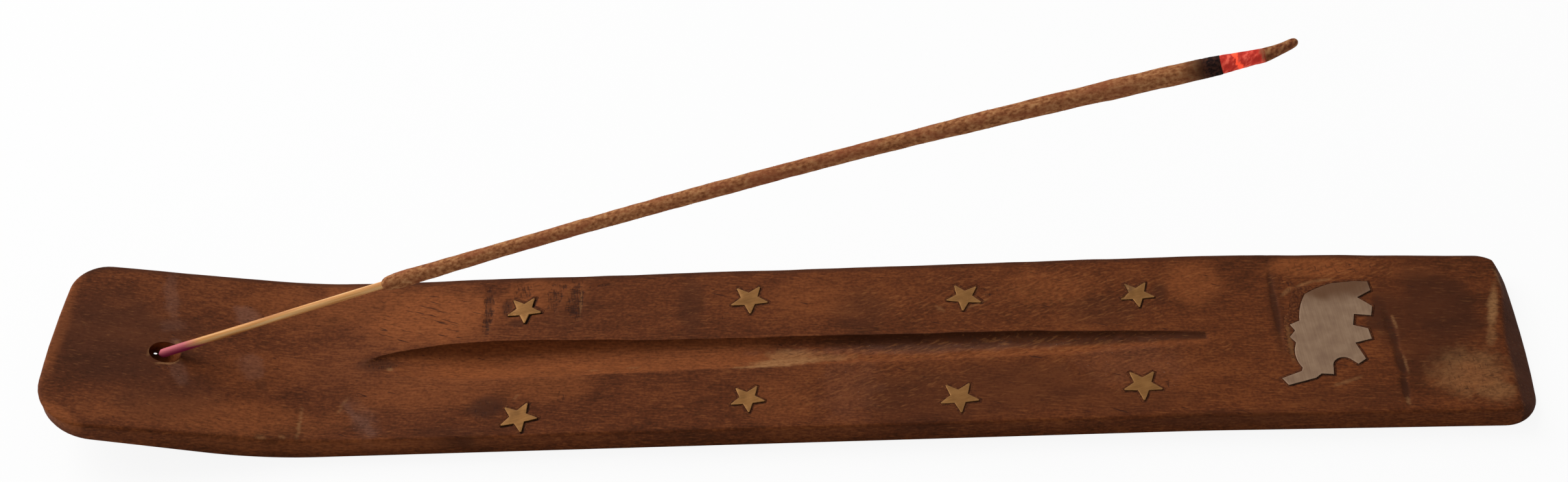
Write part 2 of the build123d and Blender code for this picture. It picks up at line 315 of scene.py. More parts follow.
def stainedHardwood():
    # hardwood rubbed with red-brown stain and sanded by hand: matte and cloudy, with fine fibres and short
    # dark pores, darkened round the inlays by soot and by painted shade, and paler where it is worn; its dark
    # colour also paints shade and its warm colour paints light where the tray's fields say so; fibres and
    # specks are drawn coarser than real ones, so that they show
    look = {"deep": "#43210e", "mid": "#5b2d14", "light": "#733d1c", "warm": "#94522a", "dark": "#2a150c",
            "chalk": "#795649", "bare": "#9c7047", "pore": "#31160c", "torn": "#2c140b", "fibre": "#8f5a31"}
    material, surface, add, parts = startMaterial("stained_hardwood", (
        ("cloud", (30, 11, 11), 0, 2), ("mottle", (6, 2.4, 2.4), 8, 3), ("fibre", (2.2, 0.3, 0.3), -5, 2),
        ("speck", (0.6, 0.45, 0.45), 0, 1), ("pore", (3.4, 0.38, 0.38), -20, 1),
        ("torn", (0.34, 1.5, 0.34), 4, 2), ("dash", (1.2, 0.3, 0.3), 0, 2),
        ("fray", (1.7, 0.45, 0.45), 24, 2)))
    spread = {field: add("Attribute", attribute_name=field)["Fac"] for field in woodMarks}
    coarse = add("Mix", {0: 0.4, 2: parts["cloud"], 3: parts["mottle"]})[0]
    # its fibres run aslant where it is frayed
    fibre = add("Mix", {0: spread["fray"], 2: parts["fibre"], 3: parts["fray"]})[0]
    fine = add("Mix", {0: 0.5, 2: fibre, 3: parts["speck"]})[0]
    tone = add("Mix", {0: 0.52, 2: coarse, 3: fine})[0]
    colour = add("ValToRGB", {0: tone}, [(0.39, look["deep"]), (0.5, look["mid"]), (0.61, look["light"])])[0]
    broken = add("MapRange", {0: fine, 1: 0.36, 2: 0.6, 3: 0.5, 4: 1.0})[0]
    for field, share in (("warm", 0.8), ("dark", 0.9), ("chalk", 0.8), ("bare", 0.95)):
        worn = add("Math", {0: spread[field], 1: broken}, operation="MULTIPLY")[0]
        worn = add("Math", {0: worn, 1: share}, operation="MULTIPLY")[0]
        colour = add("Mix", {0: worn, 6: colour, 7: linear(look[field])}, data_type="RGBA")[2]
    height = tone
    for pattern, field, stain, gain, start, end, share, depth in (  # strokes that lie where a field is strong
            ("pore", "pore", "pore", 0.1, 0.73, 0.79, 0.8, -1),
            ("torn", "torn", "torn", 0.25, 0.7, 0.85, 0.66, -1),
            ("dash", "torn", "torn", 0.25, 0.72, 0.86, 0.66, -1),
            ("fray", "fray", "fibre", 0.19, 0.7, 0.84, 0.33, 0.6),
            ("fibre", "fray", "fibre", 0.0, 0.6, 0.78, 0.3, 0.2)):
        level = add("Math", {0: spread[field], 1: gain, 2: parts[pattern]}, operation="MULTIPLY_ADD")[0]
        stroke = add("MapRange", {0: level, 1: start, 2: end, 4: share})[0]
        colour = add("Mix", {0: stroke, 6: colour, 7: linear(look[stain])}, data_type="RGBA")[2]
        height = add("Math", {0: stroke, 1: depth, 2: height}, operation="MULTIPLY_ADD")[0]
    rough = add("MapRange", {0: tone, 1: 0.35, 2: 0.65, 3: 0.8, 4: 0.62})[0]
    bump = add("Bump", {"Height": height, "Strength": 0.6, "Distance": 0.07 * mm})[0]
    setInputs(surface, {"Base Color": colour, "Roughness": rough, "Specular IOR Level": 0.07, "Normal": bump})
    return material


def filedMetal(name, look, brushTurn, brushSize):
    # thin plate sawn from cast sheet and filed flush with the wood: dull, finely scratched, bright on its rim
    material, surface, add, parts = startMaterial(
        name, (("brush", brushSize, brushTurn, 2), ("cloud", (2.4, 2.4, 2.4), 0, 3)))
    tone = add("Mix", {0: 0.6, 2: parts["brush"], 3: parts["cloud"]})[0]
    colour = add("ValToRGB", {0: tone}, [(0.36, look["deep"]), (0.5, look["mid"]), (0.64, look["light"])])[0]
    for field in ("rim", "tarnish"):
        worn = add("Attribute", attribute_name=field)["Fac"]
        colour = add("Mix", {0: worn, 6: colour, 7: linear(look[field])}, data_type="RGBA")[2]
    rough = add("MapRange", {0: tone, 1: 0.35, 2: 0.65, 3: 0.62, 4: 0.48})[0]
    bump = add("Bump", {"Height": tone, "Strength": 0.35, "Distance": 0.03 * mm})[0]
    setInputs(surface, {"Base Color": colour, "Metallic": 0.8, "Roughness": rough, "Normal": bump})
    return material


def woodDustPitch():
    # wood dust and pitch pressed round the inlays: crumbly and dull; black in the sunken gap beside a plate,
    # as painted shadow of the plate
    look = {"deep": "#3d1d0e", "mid": "#532a14", "light": "#6c3d20", "gap": "#190c07", "bare": "#8a6038"}
    material, surface, add, parts = startMaterial("wood_dust_pitch", (("crumb", [0.45] * 3, 0, 4),))
    crumb = parts["crumb"]
    colour = add("ValToRGB", {0: crumb}, [(0.34, look["deep"]), (0.5, look["mid"]), (0.68, look["light"])])[0]
    for field in ("bare", "gap"):
        spread = add("Attribute", attribute_name=field)["Fac"]
        colour = add("Mix", {0: spread, 6: colour, 7: linear(look[field])}, data_type="RGBA")[2]
    bump = add("Bump", {"Height": crumb, "Strength": 0.6, "Distance": 0.08 * mm})[0]
    setInputs(surface, {"Base Color": colour, "Roughness": 0.88, "Specular IOR Level": 0.1, "Normal": bump})
    return material


# the stick's own line, read from its solids: distance along the slide, height off it and width across it
slide = np.array(frame["joints"][0]["axis"])
lift = np.array([-slide[2], 0, slide[0]])
footTurn = (0, -math.atan2(slide[2], slide[0]), 0)
foot = np.array(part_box("bamboo_core")[0]) / mm


def lineOf(nodes, degree):
    points = np.concatenate([nodeTriangles(node)[0] for node in nodes]) - foot
    return np.poly1d(np.polyfit(points @ slide, points @ lift, degree))


def spanOf(node):
    along = (nodeTriangles(node)[0] - foot) @ slide
    return along.min(), along.max()


stickY = np.mean([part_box("incense_coat")[k][1] for k in (0, 1)]) / mm
longLine = lineOf(["bamboo_core", "incense_coat", "char_ring", "ember"], 3)
ashLine = lineOf(["ash_tip"], 2)
coatStart, coatEnd = spanOf("incense_coat")
charEnd, emberEnd, tipEnd = (spanOf(node)[1] for node in ("char_ring", "ember", "ash_tip"))


def stickPoint(along):
    line = ashLine if along > emberEnd else longLine
    point = foot + slide * along + lift * line(along)
    return point[0], stickY, point[2]


def stickPlace(add, place, start):  # millimetres along, across and above the stick, its sag taken out
    line = ashLine if start >= emberEnd else longLine
    local = add("Mapping", {"Vector": place, "Location": [c * mm for c in stickPoint(start)],
                            "Rotation": footTurn, "Scale": (mm, mm, mm)}, vector_type="TEXTURE")[0]
    along, across, above = add("SeparateXYZ", {0: local})
    bend, slope = line.deriv(2)(start) / 2, line.deriv()(start)
    slope = add("Math", {0: along, 1: bend, 2: slope}, operation="MULTIPLY_ADD")[0]
    rise = add("Math", {0: slope, 1: along}, operation="MULTIPLY")[0]
    above = add("Math", {0: above, 1: rise}, operation="SUBTRACT")[0]
    return along, above, add("CombineXYZ", {0: along, 1: across, 2: above})[0]


def splitBamboo():
    # split bamboo: straight tan fibres with darker seams and painted shade on its underside, its foot dyed
    # magenta, lighter salmon on top
    look = {"seamAndUnderShade": "#a86934", "mid": "#d29250", "light": "#efbf82", "dye": "#8c1f48", "dyeTop": "#bf5d66"}
    material, surface, add, parts = startMaterial(
        "split_bamboo", (("fibre", (18, 0.55, 0.55), 0, 3),), 0)
    fibre, along, above = parts["fibre"], parts["along"], parts["above"]
    colour = add("ValToRGB", {0: fibre}, [(0.3, look["seamAndUnderShade"]), (0.5, look["mid"]), (0.7, look["light"])])[0]
    # painted shade: the seams' colour darkens its underside
    low = add("MapRange", {0: above, 1: 0.1, 2: -0.5, 4: 0.6})[0]
    colour = add("Mix", {0: low, 6: colour, 7: linear(look["seamAndUnderShade"])}, data_type="RGBA")[2]
    top = add("MapRange", {0: above, 1: 0.0, 2: 0.75})[0]
    dye = add("Mix", {0: top, 6: linear(look["dye"]), 7: linear(look["dyeTop"])}, data_type="RGBA")[2]
    edge = add("Math", {0: above, 1: 2.4, 2: along}, operation="MULTIPLY_ADD")[0]
    edge = add("Math", {0: fibre, 1: 4.0, 2: edge}, operation="MULTIPLY_ADD")[0]
    dyed = add("MapRange", {0: edge, 1: 13.0, 2: 9.4})[0]
    colour = add("Mix", {0: dyed, 6: colour, 7: dye}, data_type="RGBA")[2]
    bump = add("Bump", {"Height": fibre, "Strength": 0.5, "Distance": 0.06 * mm})[0]
    setInputs(surface, {"Base Color": colour, "Roughness": 0.6, "Specular IOR Level": 0.25, "Normal": bump})
    return material


def incensePaste():
    # powdered wood and resin rolled on as a paste: matt, gritty warm brown, singed towards its burning end
    look = {"deep": "#774527", "mid": "#9a623c", "light": "#b58155", "red": "#89492e", "burnt": "#1e100d"}
    material, surface, add, parts = startMaterial(
        "incense_paste", (("grit", (0.75, 0.5, 0.5), 0, 3), ("patch", (6, 2.2, 2.2), 0, 2)), coatEnd)
    grit = parts["grit"]
    colour = add("ValToRGB", {0: grit}, [(0.34, look["deep"]), (0.5, look["mid"]), (0.7, look["light"])])[0]
    reddish = add("MapRange", {0: parts["patch"], 1: 0.46, 2: 0.66, 4: 0.6})[0]
    edge = add("Math", {0: grit, 1: 2.0, 2: parts["along"]}, operation="MULTIPLY_ADD")[0]
    burnt = add("MapRange", {0: edge, 1: -2.5, 2: 1.7})[0]
    for share, tint in ((reddish, "red"), (burnt, "burnt")):
        colour = add("Mix", {0: share, 6: colour, 7: linear(look[tint])}, data_type="RGBA")[2]
    bump = add("Bump", {"Height": grit, "Strength": 0.6, "Distance": 0.1 * mm})[0]
    setInputs(surface, {"Base Color": colour, "Roughness": 0.92, "Specular IOR Level": 0.1, "Normal": bump})
    return material


def burntPowder(name, look, start, size, edgeRun, glow=0, streak=None):
    # what the paste burns to: black char, red glowing powder or crumbly ash, all without gloss; where it
    # starts it still has the colour of what comes before it
    material, surface, add, parts = startMaterial(name, (("crumb", size, 0, 3),), start, -40)
    crumb, along, above = parts["crumb"], parts["along"], parts["above"]
    colour = add("ValToRGB", {0: crumb}, [(0.36, look["deep"]), (0.5, look["mid"]), (0.66, look["light"])])[0]
    edge = add("Math", {0: crumb, 1: -2 * edgeRun, 2: along}, operation="MULTIPLY_ADD")[0]
    layers = [(add("MapRange", {0: edge, 1: 0.0, 2: -edgeRun})[0], "before")]
    if streak:  # one bright band that slants back as it rises, and its ragged far end
        slant = add("Math", {0: above, 1: streak["slant"], 2: along}, operation="MULTIPLY_ADD")[0]
        ragged = add("Math", {0: crumb, 1: streak["ragged"], 2: slant}, operation="MULTIPLY_ADD")[0]
        away = add("Math", {0: ragged, 1: streak["along"]}, operation="SUBTRACT")[0]
        away = add("Math", {0: away}, operation="ABSOLUTE")[0]
        bright = add("MapRange", {0: away, 1: streak["width"], 2: 0.3 * streak["width"]})[0]
        spent = add("MapRange", {0: ragged, 1: streak["end"] - 0.3, 2: streak["end"] + 0.3})[0]
        layers += [(bright, "streak"), (spent, "spent")]
    for share, tint in layers:
        colour = add("Mix", {0: share, 6: colour, 7: linear(look[tint])}, data_type="RGBA")[2]
    bump = add("Bump", {"Height": crumb, "Strength": 0.7, "Distance": 0.1 * mm})[0]
    setInputs(surface, {"Base Color": colour, "Roughness": 0.95, "Specular IOR Level": 0.1, "Normal": bump})
    if glow:
        setInputs(surface, {"Emission Color": colour, "Emission Strength": glow})
    return material


# wooden tray

board = {
    "halfLength": 127.5,
    "halfWidth": 20.0,  # of the field of points, a little wider than the board
    "top": 4.5,
    "curlTop": (53.5, 100.0, 10.5),  # run from the left end, radius, angle
    "curlUnder": (47.5, 83.0, 13.5),
    "bevel": (4.3, 0.9),  # run from the right end, height left at its foot
    "bevelTaper": (1.6, -4, 14),  # how much later it starts at the back, from which y on and over what width
    "bevelSoft": 0.015,
    "step": 0.5,
    "fineStep": 0.27,
    "fineAreas": [(-56, -33, 5, 17.5), (-57, -36, -16, -7), (82, 108, -15, 14.5), (-114, -101, -4.5, 4.5),
                  (29, 43, 6.5, 15), (57, 69, 6, 14), (-74, -63, -4, 3), (4, 74, -4, 3)],
    "crisp": 34.0,  # edges that turn by more than this many degrees stay sharp
    "rimInset": 1.5,
    "rimRound": (0.4, 0.9),
    "rimShare": (0.45, 0.75),  # most that its rounding takes of the wall's height and of the rim's inset
    "rimTurns": (0, 22, 45, 68, 90),
    "wallShares": (0.25, 0.5, 0.75, 1.0),
    "wallDents": (0.05, (1.1, 2.2)),  # depth and size
    "underRound": 0.5,
    "underShare": 0.3,
    "underTurns": (30, 60, 90),
    "underFlat": (1.3, 2.5),  # from the side to the flat underside, and to the first points on it
    "wallStep": 0.55,
    "outlineGap": 0.25,
    "waver": 0.004,  # by which its sides are less than straight
    "pocketClear": 0.12,
    "pocketStep": 0.25,
    "pocketFloor": 0.02,
    "pocketRagged": (0.03, 0.04),
    "pointGap": 0.16,
    "underStep": 2.6,
    "underGap": 0.6,
}
# depth of each kind of wear on the top face, and the size of its bumps
wear = {"sanded": (0.06, (16, 7)), "grain": (0.012, (1.6, 0.7)), "torn": (0.1, (1.4, 0.5)), "crease": 0.2,
        "scuff": 0.05}

groove = {
    "y": -0.75,
    "radius": 5.1,
    "depths": [(-73.4, 0.0), (-53.0, 2.8), (-20.0, 1.4), (45.0, 0.82), (73.2, 0.14)],
    "blend": 9.0,  # length over which its straight runs are rounded into each other
    "lineReach": 110.0,  # how far to either side its depth is worked out
    "lineStep": 0.25,
    "edgeReach": (-72, 73),
    "edgeStep": 0.4,
    "end": 73.2,
    "endSlope": (0.5, 0.7),  # how far past its end it still runs out, and over what length
    "reach": (1.25, 0.2),  # half widths from its middle beyond which nothing is cut, and the fade before
    "lowest": 0.58,  # share of the half width by which its lowest line lies nearer the back edge
    "backBow": 2.4,  # how steeply the back wall drops, and the front wall
    "frontBow": 1.7,
    "backSoft": 0.015,  # crisp back edge, worn front edge
    "frontSoft": 0.06,
    "wander": (0.16, 6),  # how far its edges stray, and over what length
    "shallow": 0.05,  # depth below which it has no edges
    "rough": 0.07,  # torn fibres on its floor
    "roughRight": (0.11, 2, 70, 8),  # more of them between two places, over what run
    "roughLeft": (0.06, -62, 4),  # and where it starts
    "roughSize": (1.4, 0.5),
    "roughFrom": 0.3,  # depth from which they are full
    # painted shade and soot on the groove's back wall, how strong along x
    "backShade": [(-73, 0.3), (-66, 0.25), (-50, 0.05), (-30, 0.05),
                  (0, 0.1), (16, 0.75), (34, 0.95), (73, 0.9)],
    # painted light on the groove's front wall, how strong along x
    "frontPaintedLight": [(-70, 0.15), (-58, 0.8), (-12, 0.7), (10, 0.4), (60, 0.3)],
}

hole = {
    "x": -107.7, "y": -0.35, "radius": 2.2, "lean": 42.0, "skew": 0.12, "ragged": 0.03,
    "points": 64, "rings": 9, "footShift": 4.0, "breakOut": (-111.1, 2.75), "breakOutRadius": (0.3, 0.17),
    "straightShare": 0.5,
}

# marks on the top, by what they do to the wood: x, y, half length, half width, turn in degrees, strength
woodMarks = {
    # dark: soot and dirt, with painted shade among them beside the inlays, at the start of the groove, along
    # the front edge and at both ends
    "dark": [
        (-116, 1, 13, 11, 0, 0.6), (-106, -9, 10, 6, 0, 0.4), (-90.5, -6, 1.2, 1.3, 0, 0.45),
        (-53.8, -18, 1.7, 1, 0, 0.7), (-56, -17, 7, 1.6, 0, 0.4), (-49.2, 11.4, 1.0, 2.3, 0, 0.75),
        (-47, 7.7, 1.9, 0.8, 0, 0.6), (-52.6, 10.8, 5, 0.7, 91, 0.6), (-37.2, 12.6, 4.4, 0.9, 90, 0.5),
        (-40.8, 13.4, 2, 1.1, 90, 0.4), (-51, -11.2, 3.6, 2.4, 0, 0.75), (-46.5, -15.5, 3, 1.2, 0, 0.35),
        (-38, 11, 5, 6, 0, 0.25), (-16.4, 11, 2.6, 7.5, 0, 0.5), (14, 7.5, 5, 5, 0, 0.4),
        (18.5, -11, 2.6, 4.2, 0, 0.5), (28, -12, 14, 7, 0, 0.45), (56, 6, 8, 3.5, 0, 0.4),
        (66.1, 10.1, 1.5, 2.6, 0, 0.7), (75, -18, 14, 1.3, 0, 0.4), (113, 5, 9, 9, 0, 0.75),
        (110, -6, 6, 6, 0, 0.6), (96, -15, 12, 3, 0, 0.25), (40, -10, 16, 6, 0, 0.45),
        (58, -14, 10, 3.6, 0, 0.35), (105, 3, 4, 8, 0, 0.65), (102.4, 1.4, 2.2, 2.4, -30, 0.75),
        (104.4, 1.2, 1.2, 3.4, 0, 0.6), (86, 4, 1.5, 11, 0, 0.4), (103.4, 3, 1.8, 6, 0, 0.85),
        (107.5, -3, 3, 9, 0, 0.5), (-71, -0.6, 3.4, 1.6, 4, 0.6), (101.5, 7.6, 1, 1, 0, 0.5),
    ],
    # warm: paler orange wood; the long mark along the front edge is painted light on the front wall, and the
    # lighter left rim and front-left corner are partly wear and partly a painted highlight
    "warm": [
        (-63, 10.5, 12, 7, 0, 1.0), (-78, 13, 8, 5, 0, 0.6), (-62, -7.5, 14, 4, 0, 0.5),
        (46, 12, 9, 4, 0, 0.5), (94, 14.8, 9, 2.2, 0, 0.8), (110, 13, 5, 2, 0, 0.4),
        (-126.4, 3, 13, 1.5, 88, 0.8), (-122.5, -16, 5, 1.4, -35, 0.8), (-2, -12, 6, 5, 0, 0.4),
        (-88, 12, 10, 5, 0, 0.4), (72, 12, 5, 5, 0, 0.6), (4, 12, 6, 4, 0, 0.3), (-43, 14, 7, 4, 0, 0.7),
        (-96, -13.5, 19, 4, 0, 0.6), (-75, -18.6, 42, 1.2, 0, 0.6), (60, -10, 12, 6, 0, 0.25),
        (-42, -7, 9, 4, 0, 0.6), (-92, -3, 9, 4, 0, 0.35), (114, -11, 6, 3, 0, 0.5),
    ],
    "chalk": [
        (-109, 12.5, 5.5, 1.2, -78, 0.35), (-107.5, 6, 2.4, 1.6, 0, 0.25),
        (-104.7, -4.6, 3.6, 1.3, -66, 0.3), (-95.5, 9.6, 2.4, 1.8, -40, 0.55),
        (-92.8, -2, 3.2, 1.8, -55, 0.35), (-72, -13.4, 4.6, 2, -58, 0.25),
        (-73.4, -12.4, 3.2, 0.7, -52, 0.5), (-71.2, -14.6, 3.2, 0.9, -60, 0.5),
        (-106.4, 2.4, 1.1, 0.7, -40, 0.45), (12, -10, 5, 7, 0, 0.12), (60, -6, 9, 5, 0, 0.12),
        (24, -0.4, 24, 1.2, -1, 0.25),
    ],
    # bare: worn, pale wood; the strip along the right end's top edge is partly wear and partly a painted
    # highlight
    "bare": [
        (124.9, 11.4, 1.8, 0.3, 100, 0.55), (122.8, 4.4, 4.6, 0.8, 76, 0.75),
        (121.2, -2.4, 2.2, 0.9, 76, 0.4), (116, -10, 6.5, 5, 10, 0.38), (119.4, -14, 3.4, 2.6, 0, 0.45),
        (-2.4, -3.9, 5.6, 0.6, 3, 1.0), (1, -2.7, 6, 1.3, 4, 0.8), (1.6, -0.8, 4.6, 1.4, 0, 0.55),
        (8, -2, 4.5, 1, 3, 0.45), (-82.8, -14, 3.8, 0.22, 91, 0.6), (-89, -17.2, 0.8, 0.3, 0, 0.5),
        (-85.3, -17, 0.6, 0.3, 0, 0.5), (-76, -10, 1.6, 0.2, 70, 0.4), (-107.2, -2.75, 1.6, 0.22, 6, 0.7),
        (-105.5, -2.1, 0.9, 0.2, 40, 0.6), (-106, 1.9, 0.8, 0.35, -30, 0.6),
        (-110.5, -0.6, 0.3, 1.0, 0, 0.35), (88.2, 9.3, 1.7, 0.4, 45, 0.4), (91.6, 10.9, 2.2, 0.4, 20, 0.45),
        (94.6, 11.6, 1.6, 0.35, 5, 0.45), (87.2, -2, 4.5, 0.4, 90, 0.35), (105.5, 1.4, 1.6, 0.25, 98, 0.5),
        (105.9, -8, 2, 0.2, 94, 0.35), (95.4, -11.4, 2.6, 0.4, 20, 0.35), (-33, -3, 1, 0.25, 0, 0.35),
        (-26, -2.8, 1.2, 0.3, 0, 0.4), (27.5, 8, 1.4, 0.3, -40, 0.3), (34, 8.6, 2.2, 0.3, 25, 0.3),
        (-45.9, -9.2, 0.8, 0.3, 60, 0.25), (-36.1, 12.2, 3, 0.22, 91, 0.5), (-68.9, -1.6, 0.5, 0.4, 0, 0.6),
        (104.9, -16, 1, 0.3, 90, 0.5),
    ],
    "pore": [
        (-64, 9.5, 11, 6.5, 0, 1.0), (-62, -7, 16, 3, 0, 0.5), (50, 12, 10, 4, 0, 0.35),
    ],
    "torn": [
        (-52.6, 10.8, 5.4, 1.1, 91, 1.0), (-46.7, 15.4, 2.4, 1.8, 0, 0.8),
        (-40.8, 12.8, 3.8, 1.5, 91, 0.85), (-37, 12.2, 5.4, 1.8, 90, 1.0), (-49.2, 11, 2.6, 1.0, 92, 0.7),
        (-47, 7.4, 2.2, 0.9, 0, 0.5), (-51.4, -11.5, 3.4, 2.5, 0, 0.5), (-47, -10.4, 1.2, 1.2, 0, 0.6),
        (-38.1, -9.9, 1.6, 0.9, 95, 0.6), (-40, 16.2, 3, 0.5, -14, 0.9), (-32.6, 16, 2.8, 0.4, 9, 0.9),
        (36.5, 11.9, 2, 0.4, -3, 0.85), (36.4, 10.8, 2, 0.4, -3, 0.8), (40.6, 11.8, 1.7, 0.5, 100, 0.7),
        (39.4, 13.2, 1, 0.4, -5, 0.7), (65.6, -10.7, 1.7, 0.5, 97, 0.8), (57, 13.6, 1.4, 0.8, 30, 0.6),
        (66, 6.5, 3.4, 2.2, 0, 0.35), (97, 14.6, 9, 2, 0, 0.45), (88, 10.4, 1.6, 3, 0, 0.6),
        (116, -11, 7, 5, 0, 0.45), (87.4, 1, 0.8, 6, 0, 0.5), (-71, -0.6, 3.2, 1.6, 0, 0.7),
        (20, 1.2, 26, 0.8, -1, 0.35),
    ],
    "fray": [
        (45, 10, 34, 8, 0, 0.8), (16, -9, 20, 6, 10, 0.7), (60, -4, 20, 8, 0, 0.6), (32, -1, 34, 3, 0, 1.0),
        (97, 13, 12, 4, 0, 0.8), (116, -12, 8, 5, 0, 0.7), (-20, 10, 20, 7, 0, 0.35),
    ],
}
# creases: cut a little into the top, with painted shade darkening them
creases = [
    (85.7, 6, 10, 0.6, 90, 0.9), (104.7, -0.5, 4.8, 0.85, 95, 1.0), (105.1, -7, 4.2, 0.8, 94, 0.95),
    (104.9, -13, 3.6, 0.6, 88, 0.9), (-14.1, 10.7, 2.6, 0.3, 94, 0.4), (-52, -4.55, 13, 0.16, -2, 0.5),
]
# how ragged their edges are, over what length, and the seed
markEdges = {
    "dark": (0.3, 3, 131), "warm": (0.35, 4, 133), "chalk": (0.5, 1.6, 134), "bare": (0.35, 0.9, 135),
    "pore": (0.35, 3, 136), "torn": (0.4, 1.2, 137), "fray": (0.4, 4, 138), "crease": (0.3, 2, 52),
}
# how strongly other parts of the wood get painted shade (the bevel, the rim at the back), painted shade
# and soot (the groove's back wall), painted light (the groove's front wall, and in its left half the
# back wall too) or wear (the patch in the groove); a pair is where that starts or ends, and over what run
shade = {
    "onTop": (1, 1.5), "bevel": 0.85, "bevelFace": (0.2, 0.6), "bevelWear": 0.6,
    "backRim": 0.75, "backRimY": (15, 1.5), "paintedShadeAndSoot": (0.42, 0.5), "paintedShadeAndSootWidens": 0.75,
    "paintedShadeAndSootRun": (4, 22), "paintedShadeAndSootEdge": (1.04, 0.05),
    "front": (0.45, 0.5), "frontEdge": (-1.05, 0.1), "left": 0.7, "leftEnd": (2, 8), "leftEdge": (1.02, 0.05),
    "patchX": 12, "patchY": (-1, 5), "patchEdge": (-1.04, 0.06),
}

woodFinish = stainedHardwood()
brassFinish = filedMetal("filed_brass", {
    "deep": "#64421b", "mid": "#704b22", "light": "#7b552a", "rim": "#856036", "tarnish": "#4a321f"},
    20, (3.0, 0.16, 0.16))
whiteMetalFinish = filedMetal("filed_white_metal", {
    "deep": "#705744", "mid": "#785f4a", "light": "#816852", "rim": "#8f7661", "tarnish": "#573923"},
    94, (6.0, 0.3, 0.3))
pitchFinish = woodDustPitch()
bambooFinish = splitBamboo()
pasteFinish = incensePaste()
charFinish = burntPowder("char", {
    "deep": "#120908", "mid": "#271512", "light": "#40261d", "before": "#4d2b1c"},
    coatEnd, (0.5, 0.4, 0.4), 1.2)
emberFinish = burntPowder("glowing_ember", {
    "deep": "#96281f", "mid": "#a92f25", "light": "#cc5443", "before": "#4a1410", "streak": "#ff5537",
    "spent": "#7d4630"}, charEnd, (1.3, 0.8, 0.5), 0.15, 0.5,
    {"along": 3.55, "slant": 0.25, "width": 0.45, "ragged": 1.6, "end": 7.2})
ashFinish = burntPowder("ash", {
    "deep": "#64361f", "mid": "#865031", "light": "#9f7049", "before": "#963b2b"},
    emberEnd, (1.0, 0.6, 0.6), 0.35)
dustFinish = burntPowder("ash_dust", {
    "deep": "#6a4c3e", "mid": "#8f7262", "light": "#b59c8c", "before": "#8f7262"},
    emberEnd, (0.3, 0.3, 0.3), 0.1)
print("materials:", len(bpy.data.materials))


def curl(x, run, radius, angle):  # height gained by the upturned end
    past = np.maximum(0, run - board["halfLength"] - x)
    angle = math.radians(angle)
    arc = np.minimum(past, radius * math.sin(angle))
    return radius - np.sqrt(radius ** 2 - arc ** 2) + (past - arc) * math.tan(angle)


def grooveLine():  # depth along the groove, its straight runs rounded into each other
    places, depths = np.array(groove["depths"]).T
    x = np.arange(-groove["lineReach"], groove["lineReach"], groove["lineStep"])
    line = np.interp(x, places, depths)
    before = x < places[0]
    line[before] = (x[before] - places[0]) * depths[1] / (places[1] - places[0])
    kernel = np.ones(int(groove["blend"] / groove["lineStep"]))
    padded = np.convolve(np.pad(line, len(kernel), "edge"), kernel / len(kernel), "same")
    return x, padded[len(kernel):-len(kernel)]


grooveX, grooveZ = grooveLine()


def grooveShare(x, y):  # -1 at the front edge, 1 at the back edge; the groove's depth there
    depth = np.interp(x, grooveX, grooveZ)
    half = np.sqrt(np.maximum(2 * groove["radius"] * depth - depth ** 2, 0.0004))
    stray, length = groove["wander"]
    wander = stray * randomField(x, 0 * np.asarray(x), length, 31, 3)
    return (y - groove["y"] - wander) / half, np.maximum(depth, 0)


def grooveDepth(x, y):
    share, depth = grooveShare(x, y)
    low = groove["lowest"]
    back = 1 - np.clip((share - low) / (1 - low), 0, 2) ** groove["backBow"]
    front = 1 - np.clip((low - share) / (1 + low), 0, 2) ** groove["frontBow"]
    cut = depth * np.minimum(back, front)
    soft = np.where(share > low, groove["backSoft"], groove["frontSoft"])
    cut = (cut + np.sqrt(cut ** 2 + soft ** 2)) / 2
    past, run = groove["endSlope"]
    return cut * falling(abs(share), *groove["reach"]) * falling(x, groove["end"] + past, run) * (depth > 0)


def topRelief(x, y):  # everything that tools and wear took off the top face
    (sanded, sandedSize), (grain, grainSize), (torn, tornSize) = wear["sanded"], wear["grain"], wear["torn"]
    worn = sanded * (1 + randomField(x, y, sandedSize, 41, 3))
    worn += grain * (1 + randomField(x, y, grainSize, 45))
    chips = 0.5 + 0.5 * randomField(x, y, tornSize, 55)
    worn += torn * marks(x, y, woodMarks["torn"], 0.5, 0.8, 51) * chips
    worn += wear["crease"] * marks(x, y, creases, 0.25, 2, 52)
    worn += wear["scuff"] * marks(x, y, woodMarks["bare"], 0.4, 1, 53)
    return worn


def bevelStart(y):
    late, front, width = board["bevelTaper"]
    return board["halfLength"] - board["bevel"][0] + late * rising(y, front, width)


def topHeight(x, y):
    start = bevelStart(y)
    past = (board["top"] - board["bevel"][1]) * (x - start) / (board["halfLength"] - start)
    bevel = (past + np.sqrt(past ** 2 + board["bevelSoft"])) / 2
    cut = grooveDepth(x, y)
    (right, rightStart, rightEnd, run), (left, *leftEnd) = groove["roughRight"], groove["roughLeft"]
    frayed = groove["rough"] + right * rising(x, rightStart, run) * falling(x, rightEnd, run)
    frayed = frayed + left * falling(x, *leftEnd)
    rough = frayed * (1 + randomField(x, y, groove["roughSize"], 61, 3)) * smooth(cut / groove["roughFrom"])
    flat = board["top"] + curl(x, *board["curlTop"])
    return flat - bevel * (x > start - 2) - cut - rough - topRelief(x, y)


def underHeight(x):
    return curl(x, *board["curlUnder"])


